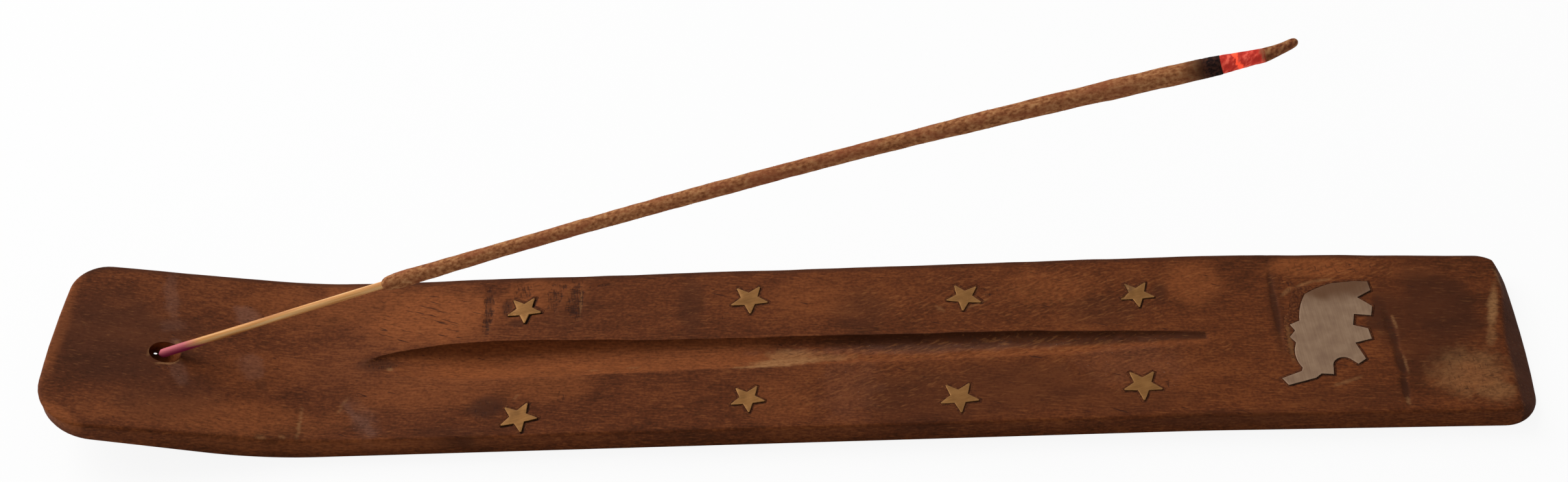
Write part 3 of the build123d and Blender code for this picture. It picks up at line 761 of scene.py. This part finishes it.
def trayOutline():  # the solid's plan outline, from the points of its outer wall
    leaning, directions, margin = 0.02, 720, 0.9  # what still counts as upright, and as outermost from a side
    points, triangles = nodeTriangles("wooden_tray")
    a, b, c = (points[triangles[:, k]] for k in range(3))
    normal = np.cross(b - a, c - a)
    upright = abs(normal[:, 2]) < leaning * np.linalg.norm(normal, axis=1)
    plan = points[np.unique(triangles[upright])][:, :2]
    turns = np.linspace(0, 2 * math.pi, directions, endpoint=False)
    away = np.c_[np.cos(turns), np.sin(turns)].T
    outermost = (points[:, :2] @ away).max(0)
    plan = plan[(outermost - plan @ away).min(1) < margin]
    plan = plan[np.argsort(np.arctan2(plan[:, 1], plan[:, 0]))]
    kept = [plan[0]]
    for point in plan[1:]:  # points that crowd each other would fold the loops that are set in from here
        if min(np.linalg.norm(point - kept[-1]), np.linalg.norm(point - kept[0])) > board["outlineGap"]:
            kept.append(point)
    loop = resample(np.array(kept), board["wallStep"])
    return inset(loop, board["waver"] * (1 + randomField(*loop.T, 0.9, 75)))


holeTop = board["top"] + float(curl(np.array(hole["x"]), *board["curlTop"]))


def slantedLoop(level, slope, levelX):  # where the hole meets a face z = level + slope (x - levelX)
    lean = math.radians(hole["lean"])
    axis = np.array([math.cos(lean), 0, math.sin(lean)])
    side = np.array([-math.sin(lean), 0, math.cos(lean)])
    turns = np.linspace(0, 2 * math.pi, hole["points"], endpoint=False)
    radius = hole["radius"] * (1 + hole["ragged"] * (1 + randomField(turns * 2, turns * 0, 1, 71)))
    ring = np.cos(turns)[:, None] * -side + np.sin(turns)[:, None] * [0, 1, 0]
    start = np.array([hole["x"], hole["y"], holeTop]) + radius[:, None] * ring
    reach = (level + slope * (start[:, 0] - levelX) - start[:, 2]) / (axis[2] - slope * axis[0])
    loop = start + reach[:, None] * axis
    loop[:, 1] -= hole["skew"] * (loop[:, 0] - loop[:, 0].mean())
    return loop


def holeLoops():  # the hole's mouth, the loop that it aims at below and the small break-out that it ends in
    slopeTop, slopeUnder = (math.tan(math.radians(board[side][2])) for side in ("curlTop", "curlUnder"))
    lowX = hole["x"] - hole["footShift"]
    mouth = slantedLoop(holeTop, -slopeTop, hole["x"])
    under = slantedLoop(float(underHeight(np.array(lowX))), -slopeUnder, lowX)
    turns = np.linspace(0, 2 * math.pi, hole["points"], endpoint=False) + math.pi
    breakOut = np.array(hole["breakOut"]) + np.c_[np.cos(-turns), np.sin(-turns)] * hole["breakOutRadius"]
    if loopArea(mouth[:, :2]) < 0:
        mouth, under = mouth[::-1], under[::-1]
    if loopArea(breakOut) < 0:
        breakOut = breakOut[::-1]
    breakOut = np.roll(breakOut, np.argmin(under[:, 0]) - np.argmin(breakOut[:, 0]), 0)
    return mouth, under, np.c_[breakOut, underHeight(breakOut[:, 0])]


pockets = {}  # ragged outline of each inlay's pocket, by the node that beds the inlay
for index, node in enumerate(sorted(n for n in frame["nodes"] if "_bed" in n)):
    wider, ragged = board["pocketRagged"]
    loop = resample(flatFaceLoop(node, False), board["pocketStep"])
    pockets[node] = inset(loop, -wider - ragged * (1 + randomField(*loop.T, 0.6, 80 + index)))


def boardPoints(step, seed):
    corner = np.array([board["halfLength"], board["halfWidth"]])
    return hexPoints(-corner, corner, step, seed)


def trayTop(shell, outline, mouth):  # the top up to its rim, round the mouths of the pockets and the hole
    clear = nearest(outline, list(pockets.values()))[0] - board["pocketClear"]
    rimInset = np.minimum(board["rimInset"], clear)
    rim = inset(outline, rimInset)
    x = np.arange(*groove["edgeReach"], groove["edgeStep"])
    (share, depth), (shareAside, _) = grooveShare(x, np.zeros(len(x))), grooveShare(x, np.ones(len(x)))
    edges = [np.c_[x, (side - share) / (shareAside - share)][depth > groove["shallow"]] for side in (1, -1)]
    coarse = boardPoints(board["step"], 91)
    parts = []
    for index, (x0, x1, y0, y1) in enumerate(board["fineAreas"]):
        coarse = coarse[~((coarse > (x0, y0)) & (coarse < (x1, y1))).all(1)]
        parts.append(hexPoints((x0, y0), (x1, y1), board["fineStep"], 92 + index))
    points = np.concatenate([coarse, *parts])
    points = points[insideLoop(points, rim)]
    holes = [*pockets.values(), mouth[:, :2]]
    for loop in holes:
        points = points[~insideLoop(points, loop)]
    points = clearOf(points, [rim, *holes, *edges], board["pointGap"])
    plan, triangles, loopIds = fillLoops(rim, holes, points, edges)
    ids = shell.add(plan, topHeight(*plan.T))
    shell.faces += triangles
    print("tray top:", len(plan), "points")
    return rimInset, [[ids[k] for k in order] for order in loopIds]


def traySides(shell, outline, rimInset, last):  # rounded rim, side wall and rounded underside, row by row
    low, high = board["rimRound"]
    floor = underHeight(outline[:, 0])
    top = topHeight(*outline.T)
    rimRound = low + (high - low) * (0.5 + 0.5 * randomField(*outline.T, 9, 101))
    ofWall, ofInset = board["rimShare"]
    rimRound = np.minimum(np.minimum(rimRound, ofWall * (top - floor)), ofInset * rimInset)
    underRound = np.minimum(board["underRound"], board["underShare"] * (top - floor))
    rimRows = []
    for turn in np.radians(board["rimTurns"]):
        row = inset(outline, rimRound * (1 - math.sin(turn)))
        last = shell.drop(last, row, topHeight(*row.T) - rimRound * (1 - math.cos(turn)))
        rimRows += last
    wallTop = top - rimRound
    depth, size = board["wallDents"]
    for share in board["wallShares"]:
        z = wallTop + (floor + underRound - wallTop) * share
        dent = 1 + randomField(outline[:, 0] + outline[:, 1], z, size, 111)
        last = shell.drop(last, inset(outline, depth * dent * (share < 1)), z)
    for turn in np.radians(board["underTurns"]):
        row = inset(outline, underRound * (1 - math.cos(turn)))
        last = shell.drop(last, row, floor + underRound * (1 - math.sin(turn)))
    return last, rimRows


def trayUnderside(shell, outline, breakOut, last):  # flat but for the small break-out of the hole
    toFlat, toPoints = board["underFlat"]
    points = boardPoints(board["underStep"], 121)
    points = points[insideLoop(points, inset(outline, toPoints)) & ~insideLoop(points, breakOut)]
    points = clearOf(points, [breakOut], board["underGap"])
    plan, triangles, (outerIds, holeIds) = fillLoops(inset(outline, toFlat), [breakOut], points)
    lower = shell.add(plan, underHeight(plan[:, 0]))
    shell.faces += [tuple(lower[k] for k in t[::-1]) for t in triangles]
    shell.bridge(last, [lower[k] for k in outerIds])
    return [lower[k] for k in holeIds]


def trayBore(shell, upper, lower, mouth, under, breakOut):  # straight from its mouth, then closing to its end
    straight, bore = hole["straightShare"], []
    for share in np.linspace(0, 1, hole["rings"] + 2)[1:-1]:
        closing = float(rising(share, straight, 1 - straight))
        ring = mouth + (under - mouth) * share
        ring = ring * (1 - closing) + (mouth + (breakOut - mouth) * share) * closing
        upper = shell.drop(upper, ring[:, :2], ring[:, 2], True)
        bore += upper
    shell.bridge(upper, lower, True)
    return bore


def trayFields(points, rimRows, bore):  # how strongly each mark shows at each point, from 0 to 1
    x, y, z = np.array(points).T
    onTop = rising(z - underHeight(x), *shade["onTop"])
    bevelFace = rising(x - bevelStart(y), *shade["bevelFace"])
    fields = {name: marks(x, y, items, *markEdges[name]) * onTop for name, items in woodMarks.items()}
    share, depth = grooveShare(x, y)
    inGroove = (depth > groove["shallow"]) * (x < groove["end"])

    # dark: painted shade in the creases, on the bevel and on the rim at the back, and painted shade and
    # soot on the back wall of the groove, but not the hole
    # the rim at the back is partly stained and partly gets painted shade
    backRim = np.zeros(len(x))
    backRim[rimRows] = rising(y[rimRows], *shade["backRimY"])
    dark = np.maximum(fields["dark"], marks(x, y, creases, *markEdges["crease"]) * onTop)
    dark = np.max([dark, shade["bevel"] * bevelFace, shade["backRim"] * backRim], 0)
    dark[bore] = 0
    lowest, run = shade["paintedShadeAndSoot"]
    paintedShadeAndSoot = smooth((share - lowest + shade["paintedShadeAndSootWidens"] * rising(x, *shade["paintedShadeAndSootRun"])) / run)
    paintedShadeAndSoot = paintedShadeAndSoot * falling(share, *shade["paintedShadeAndSootEdge"]) * inGroove
    fields["dark"] = np.maximum(dark, paintedShadeAndSoot * np.interp(x, *np.array(groove["backShade"]).T))

    # warm: painted light on the front wall of the groove, in its left half on all of it, and on the hole's
    # bore
    left = shade["left"] * falling(x, *shade["leftEnd"]) * falling(share, *shade["leftEdge"])
    paintedLight = np.maximum(falling(share, *shade["front"]), left)
    paintedLight *= rising(share, *shade["frontEdge"]) * inGroove
    fields["warm"] = np.maximum(fields["warm"], paintedLight * np.interp(x, *np.array(groove["frontPaintedLight"]).T))
    fields["warm"][bore] = 1

    # bare: the patch worn in the groove stops at its front edge
    middle, half = shade["patchY"]
    inPatch = (abs(x) < shade["patchX"]) & (abs(y - middle) < half)
    fields["bare"] *= 1 - shade["bevelWear"] * bevelFace
    fields["bare"] *= np.where(inPatch, rising(share, *shade["patchEdge"]), 1)
    return fields


def carvedTray():
    shell, outline = Shell(), trayOutline()
    mouth, under, breakOut = holeLoops()
    rimInset, (rim, *pocketMouths, holeMouth) = trayTop(shell, outline, mouth)
    lastRow, rimRows = traySides(shell, outline, rimInset, rim)
    holeFoot = trayUnderside(shell, outline, breakOut[:, :2], lastRow)
    bore = trayBore(shell, holeMouth, holeFoot, mouth, under, breakOut)
    for (node, loop), upper in zip(pockets.items(), pocketMouths):
        shell.cap(shell.drop(upper, loop, heights(node)[0] - board["pocketFloor"], True), loop, True)
    fields = trayFields(shell.points, rimRows, bore)
    return makePiece("carved_tray", shell.points, shell.faces, woodFinish, fields, board["crisp"])


tray = carvedTray()
fitPiece(tray, "holder", "stained_wood", "wooden_tray")
print("carved tray:", len(tray.data.polygons), "faces")


# inlaid plates and what they are bedded in

plates = {
    "edgeStep": 0.22, "edgeWear": (0.015, 0.02), "rim": 0.09, "rimDrop": 0.03, "step": 0.42, "pointGap": 0.2,
    "dents": 0.012, "crisp": 14.0,
    "brightRim": (0.2, 0.35),  # how bright its rim is, and its outer edge
}
plateDents = {
    "star_inlay_back_4": [(59.6, 9.6, 0.8, 0.7, 30, 0.16), (60.2, 11.4, 0.7, 0.4, -40, 0.12)],
    "star_inlay_back_1": [(-48.2, 9.6, 0.5, 0.3, 0, 0.1)],
}
plateTarnish = {
    "elephant_inlay": [(95.6, 10.6, 10, 3.6, 3, 0.95), (101.5, -9, 2, 2, 0, 0.15)],
    "star_inlay_back_4": [(60.5, 11.2, 1.2, 1, 0, 0.5)],
}
filler = {
    "starStep": 0.15, "elephantStep": 0.3, "edgeStep": 0.2, "waver": 0.004, "clear": 0.006, "pointGap": 0.45,
    # the gap's black is painted shadow, on the side turned away from the light
    "gapSide": (0.75, -0.66),  # the gap beside the plates lies on this side
    "gapDepth": 0.32, "gapWidth": (0.55, 0.3), "sink": 0.04, "crumbs": 0.04,
    "gapShare": 0.4,
    "wideGaps": {
        "star_bed_back_1": 1.0, "star_bed_front_1": 0.75, "star_bed_back_4": 0.55, "elephant_bed": 0.55},
}


def inlayPlate(node, name, material, seed):
    low, high = heights(node)
    least, more = plates["edgeWear"]
    outer = resample(flatFaceLoop(node, True), plates["edgeStep"])
    outer = inset(outer, least + more * (1 + randomField(*outer.T, 0.7, seed)))
    rimLoop = inset(outer, plates["rim"] * (1 + 0.4 * randomField(*outer.T, 1.1, seed + 1)))
    points = hexPoints(outer.min(0), outer.max(0), plates["step"], seed)
    points = clearOf(points[insideLoop(points, rimLoop)], [rimLoop], plates["pointGap"])
    plan, triangles, (rimIds,) = fillLoops(rimLoop, points=points)
    knocks = plateDents.get(node, [])
    deepest = max([knock[5] for knock in knocks], default=0)
    dents = deepest * marks(*plan.T, [(*knock[:5], 1) for knock in knocks], 0.4, 0.5, seed)
    shell = Shell()
    ids = shell.add(plan, high - plates["dents"] * (1 + randomField(*plan.T, 1.3, seed + 2)) - dents)
    shell.faces += triangles
    upper = [ids[k] for k in rimIds]
    drop = plates["rimDrop"] * (1.2 + 0.5 * randomField(*outer.T, 0.9, seed + 3))
    shoulder = shell.drop(upper, outer, high - drop)
    shell.cap(shell.drop(shoulder, outer, low), outer, False)
    x, y, _ = np.array(shell.points).T
    rim = np.zeros(len(x))
    rim[upper], rim[shoulder] = plates["brightRim"]
    fields = {"rim": rim, "tarnish": marks(x, y, plateTarnish.get(node, []), 0.25, 2, seed)}
    return makePiece(name, shell.points, shell.faces, material, fields, plates["crisp"])


def inlayFiller(bed, plate, name, step, seed):
    plateFloor, plateTop = heights(plate)
    outer = inset(pockets[bed], filler["clear"])
    inner = resample(flatFaceLoop(plate, True), filler["edgeStep"])
    inner = inset(inner, filler["waver"] * (1 + randomField(*inner.T, 0.3, seed + 3)))
    points = hexPoints(outer.min(0), outer.max(0), step, seed)
    points = points[insideLoop(points, outer) & ~insideLoop(points, inner)]
    points = clearOf(points, [outer, inner], filler["pointGap"] * step)
    plan, triangles, (outerIds, innerIds) = fillLoops(outer, [inner], points)

    # the gap is deepest beside the plate, on the side that it faces, and is painted black there as the
    # plate's shadow
    away, closest = nearest(plan, [inner])
    facing = (inset(inner, -1.0) - inner)[closest] @ np.array(filler["gapSide"])
    patchy = 0.5 + 0.9 * randomField(*plan.T, 1.6, seed + 1)
    gap = smooth((facing + 0.5 * (patchy - 0.5)) / 0.9) * falling(away, *filler["gapWidth"])
    gap *= filler["wideGaps"].get(bed, filler["gapShare"])
    crumbs = filler["crumbs"] * (1 + randomField(*plan.T, (0.7, 0.6), seed + 2, 3))
    shell = Shell()
    ids = shell.add(plan, plateTop - filler["sink"] - filler["gapDepth"] * gap - crumbs)
    shell.faces += triangles
    shell.cap(shell.drop([ids[k] for k in outerIds], outer, heights(bed)[0]), outer, False)
    shell.cap(shell.drop([ids[k] for k in innerIds], inner, plateFloor, True), inner, True)
    x, y, _ = np.array(shell.points).T
    # painted shadow: the gap's black, as strong as the gap is deep
    dark = np.ones(len(x))
    dark[ids] = gap
    bare = marks(x, y, woodMarks["bare"], 0.5, 0.8, 313) * (1 - dark)
    return makePiece(name, shell.points, shell.faces, pitchFinish, {"gap": dark, "bare": bare})


stars = sorted(node for node in frame["nodes"] if node.startswith("star_inlay"))
inlays = [(node, brassFinish, "star_brass", "starStep", 200 + 10 * k, 400 + 10 * k)
          for k, node in enumerate(stars)]
inlays.append(("elephant_inlay", whiteMetalFinish, "white_metal", "elephantStep", 300, 320))
for node, finish, slot, step, plateSeed, fillerSeed in inlays:
    bed, plateName, fillerName = (node.replace("inlay", word) for word in ("bed", "plate", "filler"))
    fitPiece(inlayPlate(node, plateName, finish, plateSeed), "holder", slot, node)
    fitPiece(inlayFiller(bed, node, fillerName, filler[step], fillerSeed), "holder", "dark_filler", bed)
print("inlays:", len(inlays))


# incense stick: sleeves of bamboo, paste, char, ember and ash that follow the stick's line

def startTree(name, sockets):
    tree = bpy.data.node_groups.new(name, "GeometryNodeTree")
    tree.interface.new_socket("Geometry", in_out="OUTPUT", socket_type="NodeSocketGeometry")
    for socket, kind in [("Geometry", "Geometry"), *sockets, ("Material", "Material")]:
        tree.interface.new_socket(socket, in_out="INPUT", socket_type="NodeSocket" + kind)
    add = partial(addNode, tree)
    return tree, add, add("NodeGroupInput")


def endTree(add, given, shape):
    for kind in ("RealizeInstances", "SetShadeSmooth"):
        shape = add("GeometryNode" + kind, {"Geometry": shape})[0]
    shape = add("GeometryNodeSetMaterial", {"Geometry": shape, "Material": given["Material"]})[0]
    add("NodeGroupOutput", {"Geometry": shape})


def sleeveTree():  # a lumpy tube along a curve, as thick as the curve's radius
    tree, add, given = startTree("stick_sleeve", [
        ("Step", "Float"), ("Sides", "Int"), ("Lump Height", "Float"), ("Lump Length", "Float"),
        ("Lumps Around", "Float"), ("Seed", "Float")])
    run = add("GeometryNodeSplineParameter")
    path = add("GeometryNodeResampleCurve", {"Curve": given["Geometry"], "Length": given["Step"]},
               mode="LENGTH")[0]
    ring = add("GeometryNodeCurvePrimitiveCircle", {"Resolution": given["Sides"], "Radius": 1.0})[0]
    store = "GeometryNodeStoreNamedAttribute"
    path = add(store, {"Geometry": path, "Name": "along", "Value": run["Length"]})[0]
    ring = add(store, {"Geometry": ring, "Name": "around", "Value": run["Factor"]})[0]
    thickness = add("GeometryNodeInputRadius")[0]
    tube = add("GeometryNodeCurveToMesh", {"Curve": path, "Profile Curve": ring, "Scale": thickness,
                                           "Fill Caps": True})[0]
    along, around = (
        add("GeometryNodeInputNamedAttribute", {"Name": name})[0] for name in ("along", "around"))
    where = {0: add("Math", {0: along, 1: given["Lump Length"]}, operation="DIVIDE")[0]}
    turn = add("Math", {0: around, 1: 2 * math.pi}, operation="MULTIPLY")[0]
    for side, wave in ((1, "COSINE"), (2, "SINE")):
        swing = add("Math", {0: turn}, operation=wave)[0]
        where[side] = add("Math", {0: swing, 1: given["Lumps Around"]}, operation="MULTIPLY")[0]
    noise = add("TexNoise", {"Vector": add("CombineXYZ", where)[0], "W": given["Seed"], "Scale": 1.0,
                             "Detail": 2.0}, noise_dimensions="4D")[0]
    push = add("Math", {0: noise, 1: 0.5}, operation="SUBTRACT")[0]
    push = add("Math", {0: push, 1: given["Lump Height"]}, operation="MULTIPLY")[0]
    outwards = add("GeometryNodeInputNormal")[0]
    offset = add("VectorMath", {0: outwards, "Scale": push}, operation="SCALE")[0]
    endTree(add, given, add("GeometryNodeSetPosition", {"Geometry": tube, "Offset": offset})[0])
    return tree


def scatterTree():  # small grains on a mesh, as dense as one of its fields is strong
    tree, add, given = startTree("scattered_grains", [
        ("Density", "Float"), ("Where", "String"), ("Smallest", "Vector"), ("Largest", "Vector"),
        ("Seed", "Int")])
    mask = add("GeometryNodeInputNamedAttribute", {"Name": given["Where"]})[0]
    density = add("Math", {0: mask, 1: given["Density"]}, operation="MULTIPLY")[0]
    spread = add("GeometryNodeDistributePointsOnFaces", {"Mesh": given["Geometry"], "Density": density,
                                                         "Seed": given["Seed"]})
    size = add("FunctionNodeRandomValue", {0: given["Smallest"], 1: given["Largest"], "Seed": given["Seed"]},
               data_type="FLOAT_VECTOR")[0]
    grain = add("GeometryNodeMeshIcoSphere", {"Radius": 1.0, "Subdivisions": 1})[0]
    grains = add("GeometryNodeInstanceOnPoints", {"Points": spread["Points"], "Instance": grain,
                                                  "Rotation": spread["Rotation"], "Scale": size})[0]
    endTree(add, given, grains)
    return tree


def growPiece(name, source, tree, values):  # runs a tree on a mesh or curve and keeps what it gives
    carrier = addObject(name + "_carrier", source)
    modifier = carrier.modifiers.new(tree.name, "NODES")
    modifier.node_group = tree
    for item in tree.interface.items_tree:
        if item.in_out == "INPUT" and item.name in values:
            modifier[item.identifier] = values[item.name]
    grown = carrier.evaluated_get(bpy.context.evaluated_depsgraph_get())
    mesh = bpy.data.meshes.new_from_object(grown)
    mesh.name = name
    bpy.data.objects.remove(carrier)
    return addObject(name, mesh)


def pathCurve(name, strands, step=0.5):
    # each strand is start, end, (distance from the start, radius) and how far it lies aside, above and rises
    curve = bpy.data.curves.new(name, "CURVE")
    curve.dimensions = "3D"
    for start, end, radii, (aside, above, rise) in strands:
        spline = curve.splines.new("POLY")
        run = end - start
        distances, sizes = np.array(radii, float).T
        stations = np.unique(np.r_[distances[distances <= run], np.arange(0, run, step), run])
        spline.points.add(len(stations) - 1)
        for point, station in zip(spline.points, stations):
            height = above + rise * station / run
            place = np.array(stickPoint(start + station)) + lift * height + np.array([0, aside, 0])
            point.co = (*(place * mm), 1)
            point.radius = float(np.interp(station, distances, sizes)) * mm
    return curve


sleeve = sleeveTree()


def growSleeve(name, slot, finish, shape, *nodes):
    strands = shape.get("strands")
    if not strands:
        strands = [(shape["start"], shape["end"], shape["radii"], (0, 0, shape.get("rise", 0)))]
    piece = growPiece(name, pathCurve(name + "_line", strands), sleeve, {
        "Step": shape["step"] * mm, "Sides": shape["sides"], "Lump Height": shape["lumpHeight"] * mm,
        "Lump Length": shape["lumpLength"] * mm, "Lumps Around": shape["lumpsAround"],
        "Seed": float(shape["seed"]), "Material": finish})
    fitPiece(piece, "stick", slot, *nodes)
    return piece


overlap = 0.1  # of a sleeve with the one before it
splint = {
    "start": spanOf("bamboo_core")[0], "end": coatStart + 3,
    "radii": [(0, 0.25), (0.1, 0.5), (0.35, 0.7), (0.9, 0.79), (5, 0.78), (11, 0.71), (18, 0.65),
              (200, 0.62)],
    "lumpHeight": 0.12, "lumpLength": 16, "lumpsAround": 1.4, "sides": 22, "step": 0.6, "seed": 1,
}
growSleeve("bamboo_splint", "bamboo", bambooFinish, splint, "bamboo_core")

fibres = {  # loose ends below the coat
    "strands": [(coatStart + start, coatStart + 1, [(0, 0.02), (1.5, radius), (60, radius)], lies)
                for start, radius, lies in ((-13, 0.1, (-0.42, -0.32, 0)), (-8.5, 0.09, (-0.22, -0.54, 0)),
                                            (-5, 0.08, (0.38, -0.22, 0)))],
    "lumpHeight": 0.03, "lumpLength": 3, "lumpsAround": 0.5, "sides": 6, "step": 0.4, "seed": 6,
}
growSleeve("bamboo_fibres", "bamboo", bambooFinish, fibres)

coat = {
    "start": coatStart, "end": coatEnd,
    "radii": [(0, 0.78), (0.15, 0.92), (0.6, 1.1), (1.2, 1.24), (2.4, 1.36), (5, 1.4), (9, 1.32), (16, 1.26),
              (23, 1.2), (30, 1.16), (38, 1.19), (46, 1.22), (54, 1.24), (62, 1.26), (68, 1.24), (74, 1.2),
              (81, 1.2), (88, 1.22), (95, 1.24), (101, 1.31), (107, 1.43), (110, 1.38), (114, 1.46),
              (118, 1.5), (122, 1.45), (127, 1.6), (131, 1.54), (136, 1.61), (142, 1.57)],
    "lumpHeight": 0.2, "lumpLength": 2.6, "lumpsAround": 1.0, "sides": 28, "step": 0.3, "seed": 2,
}
paste = growSleeve("paste_coat", "incense_paste", pasteFinish, coat, "incense_coat")

charBand = {
    "start": coatEnd - overlap, "end": charEnd, "radii": [(0, 1.56), (1.5, 1.53), (2.9, 1.48)],
    "lumpHeight": 0.2, "lumpLength": 0.9, "lumpsAround": 1.2, "sides": 28, "step": 0.2, "seed": 3,
}
growSleeve("char_band", "char", charFinish, charBand, "char_ring")

emberGlow = {
    "start": charEnd - overlap, "end": emberEnd,
    "radii": [(0, 1.42), (0.5, 1.44), (1.7, 1.36), (3.4, 1.24), (5.4, 1.14), (7, 1.1)],
    "lumpHeight": 0.14, "lumpLength": 1.1, "lumpsAround": 1.2, "sides": 28, "step": 0.2, "seed": 4,
}
growSleeve("ember_glow", "ember", emberFinish, emberGlow, "ember")

ashCurl = {
    "start": emberEnd - overlap, "end": tipEnd - 0.45, "rise": 0.25,
    "radii": [(0, 1.1), (0.8, 1.04), (1.6, 0.95), (2.5, 0.86), (3.5, 0.8), (4.4, 0.76), (4.85, 0.7),
              (5.1, 0.61), (5.27, 0.49), (5.38, 0.34), (5.44, 0.14)],
    "lumpHeight": 0.08, "lumpLength": 1.4, "lumpsAround": 1.0, "sides": 24, "step": 0.07, "seed": 5,
}
growSleeve("ash_curl", "ash", ashFinish, ashCurl, "ash_tip")
print("stick: six sleeves")


# grains of paste on the stick and specks of ash on the wood

grit = {"density": 1.6e6, "smallest": (0.03, 0.03, 0.02), "largest": (0.09, 0.08, 0.05), "seed": 7}
dust = {"density": 0.7e6, "smallest": (0.03, 0.03, 0.01), "largest": (0.08, 0.07, 0.02), "seed": 8}
scatter = scatterTree()
setField(paste.data, "rough", np.ones(len(paste.data.vertices)))
for name, source, where, grains, finish, body, slot in (
        ("paste_grit", paste.data, "rough", grit, pasteFinish, "stick", "incense_paste"),
        ("ash_specks", tray.data, "chalk", dust, dustFinish, "holder", "ash")):
    piece = growPiece(name, source, scatter, {
        "Density": grains["density"], "Where": where, "Seed": grains["seed"], "Material": finish,
        "Smallest": [c * mm for c in grains["smallest"]], "Largest": [c * mm for c in grains["largest"]]})
    fitPiece(piece, body, slot)
    print(name + ":", len(piece.data.polygons), "faces")


# floor, light and camera

studio = {"floorSize": 4000, "floorDrop": 0.05, "world": 0.35, "key": 26.0, "keySize": 1500,
          "keyPlace": (-992, 752, 1008), "floor": "#f6f6f6", "floorGlow": 0.9}
view = {"place": (21.248, -262.278, 312.143), "turn": (43.039, 3.4456, 0.5315), "lens": 53.39, "sensor": 36,
        "nearest": 10}
white = (1, 1, 1, 1)


def whiteSweep():  # matte paper, burnt out to white where it is seen
    half, low = studio["floorSize"] / 2, -studio["floorDrop"]
    corners = [(-half, -half, low), (half, -half, low), (half, half, low), (-half, half, low)]
    material, _, add, _ = startMaterial("white_sweep")
    rays = add("LightPath")
    seen = add("Math", {0: rays["Is Camera Ray"], 1: studio["floorGlow"]}, operation="MULTIPLY")[0]
    paper = add("BsdfDiffuse", {"Color": linear(studio["floor"])})[0]
    glow = add("Emission", {"Color": white, "Strength": 1.0})[0]
    mixed = add("MixShader", {0: seen, 1: paper, 2: glow})[0]
    setInputs(material.node_tree.nodes["Material Output"], {"Surface": mixed})
    makePiece("studio_floor", corners, [(0, 1, 2, 3)], material)


def whiteWorld():  # soft light all round, plain white where it is seen or mirrored
    world = bpy.data.worlds.new("studio_world")
    bpy.context.scene.world = world
    world.use_nodes = True
    add = partial(addNode, world.node_tree)
    rays = add("LightPath")
    seen = rays["Is Camera Ray"]
    for kind in ("Is Glossy Ray", "Is Transmission Ray"):
        seen = add("Math", {0: seen, 1: rays[kind]}, operation="MAXIMUM")[0]
    soft, plain = (add("Background", {"Color": white, "Strength": strength})[0]
                   for strength in (studio["world"], 1.0))
    mixed = add("MixShader", {0: seen, 1: soft, 2: plain})[0]
    setInputs(world.node_tree.nodes["World Output"], {"Surface": mixed})


def keyLight():
    lamp = bpy.data.lights.new("key_softbox", "AREA")
    lamp.shape = "DISK"
    lamp.size = studio["keySize"] * mm
    lamp.energy = studio["key"]
    key = addObject("key_softbox", lamp)
    key.location = Vector(studio["keyPlace"]) * mm
    key.rotation_euler = (-key.location).to_track_quat("-Z", "Y").to_euler()


def frontCamera():
    lens = bpy.data.cameras.new("camera")
    lens.lens = view["lens"]
    lens.sensor_width = view["sensor"]
    lens.clip_start = view["nearest"] * mm
    camera = addObject("camera", lens)
    camera.location = Vector(view["place"]) * mm
    camera.rotation_euler = [math.radians(a) for a in view["turn"]]
    bpy.context.scene.camera = camera
    bpy.context.scene.view_settings.view_transform = "Standard"


whiteSweep()
whiteWorld()
keyLight()
frontCamera()
print("studio ready")
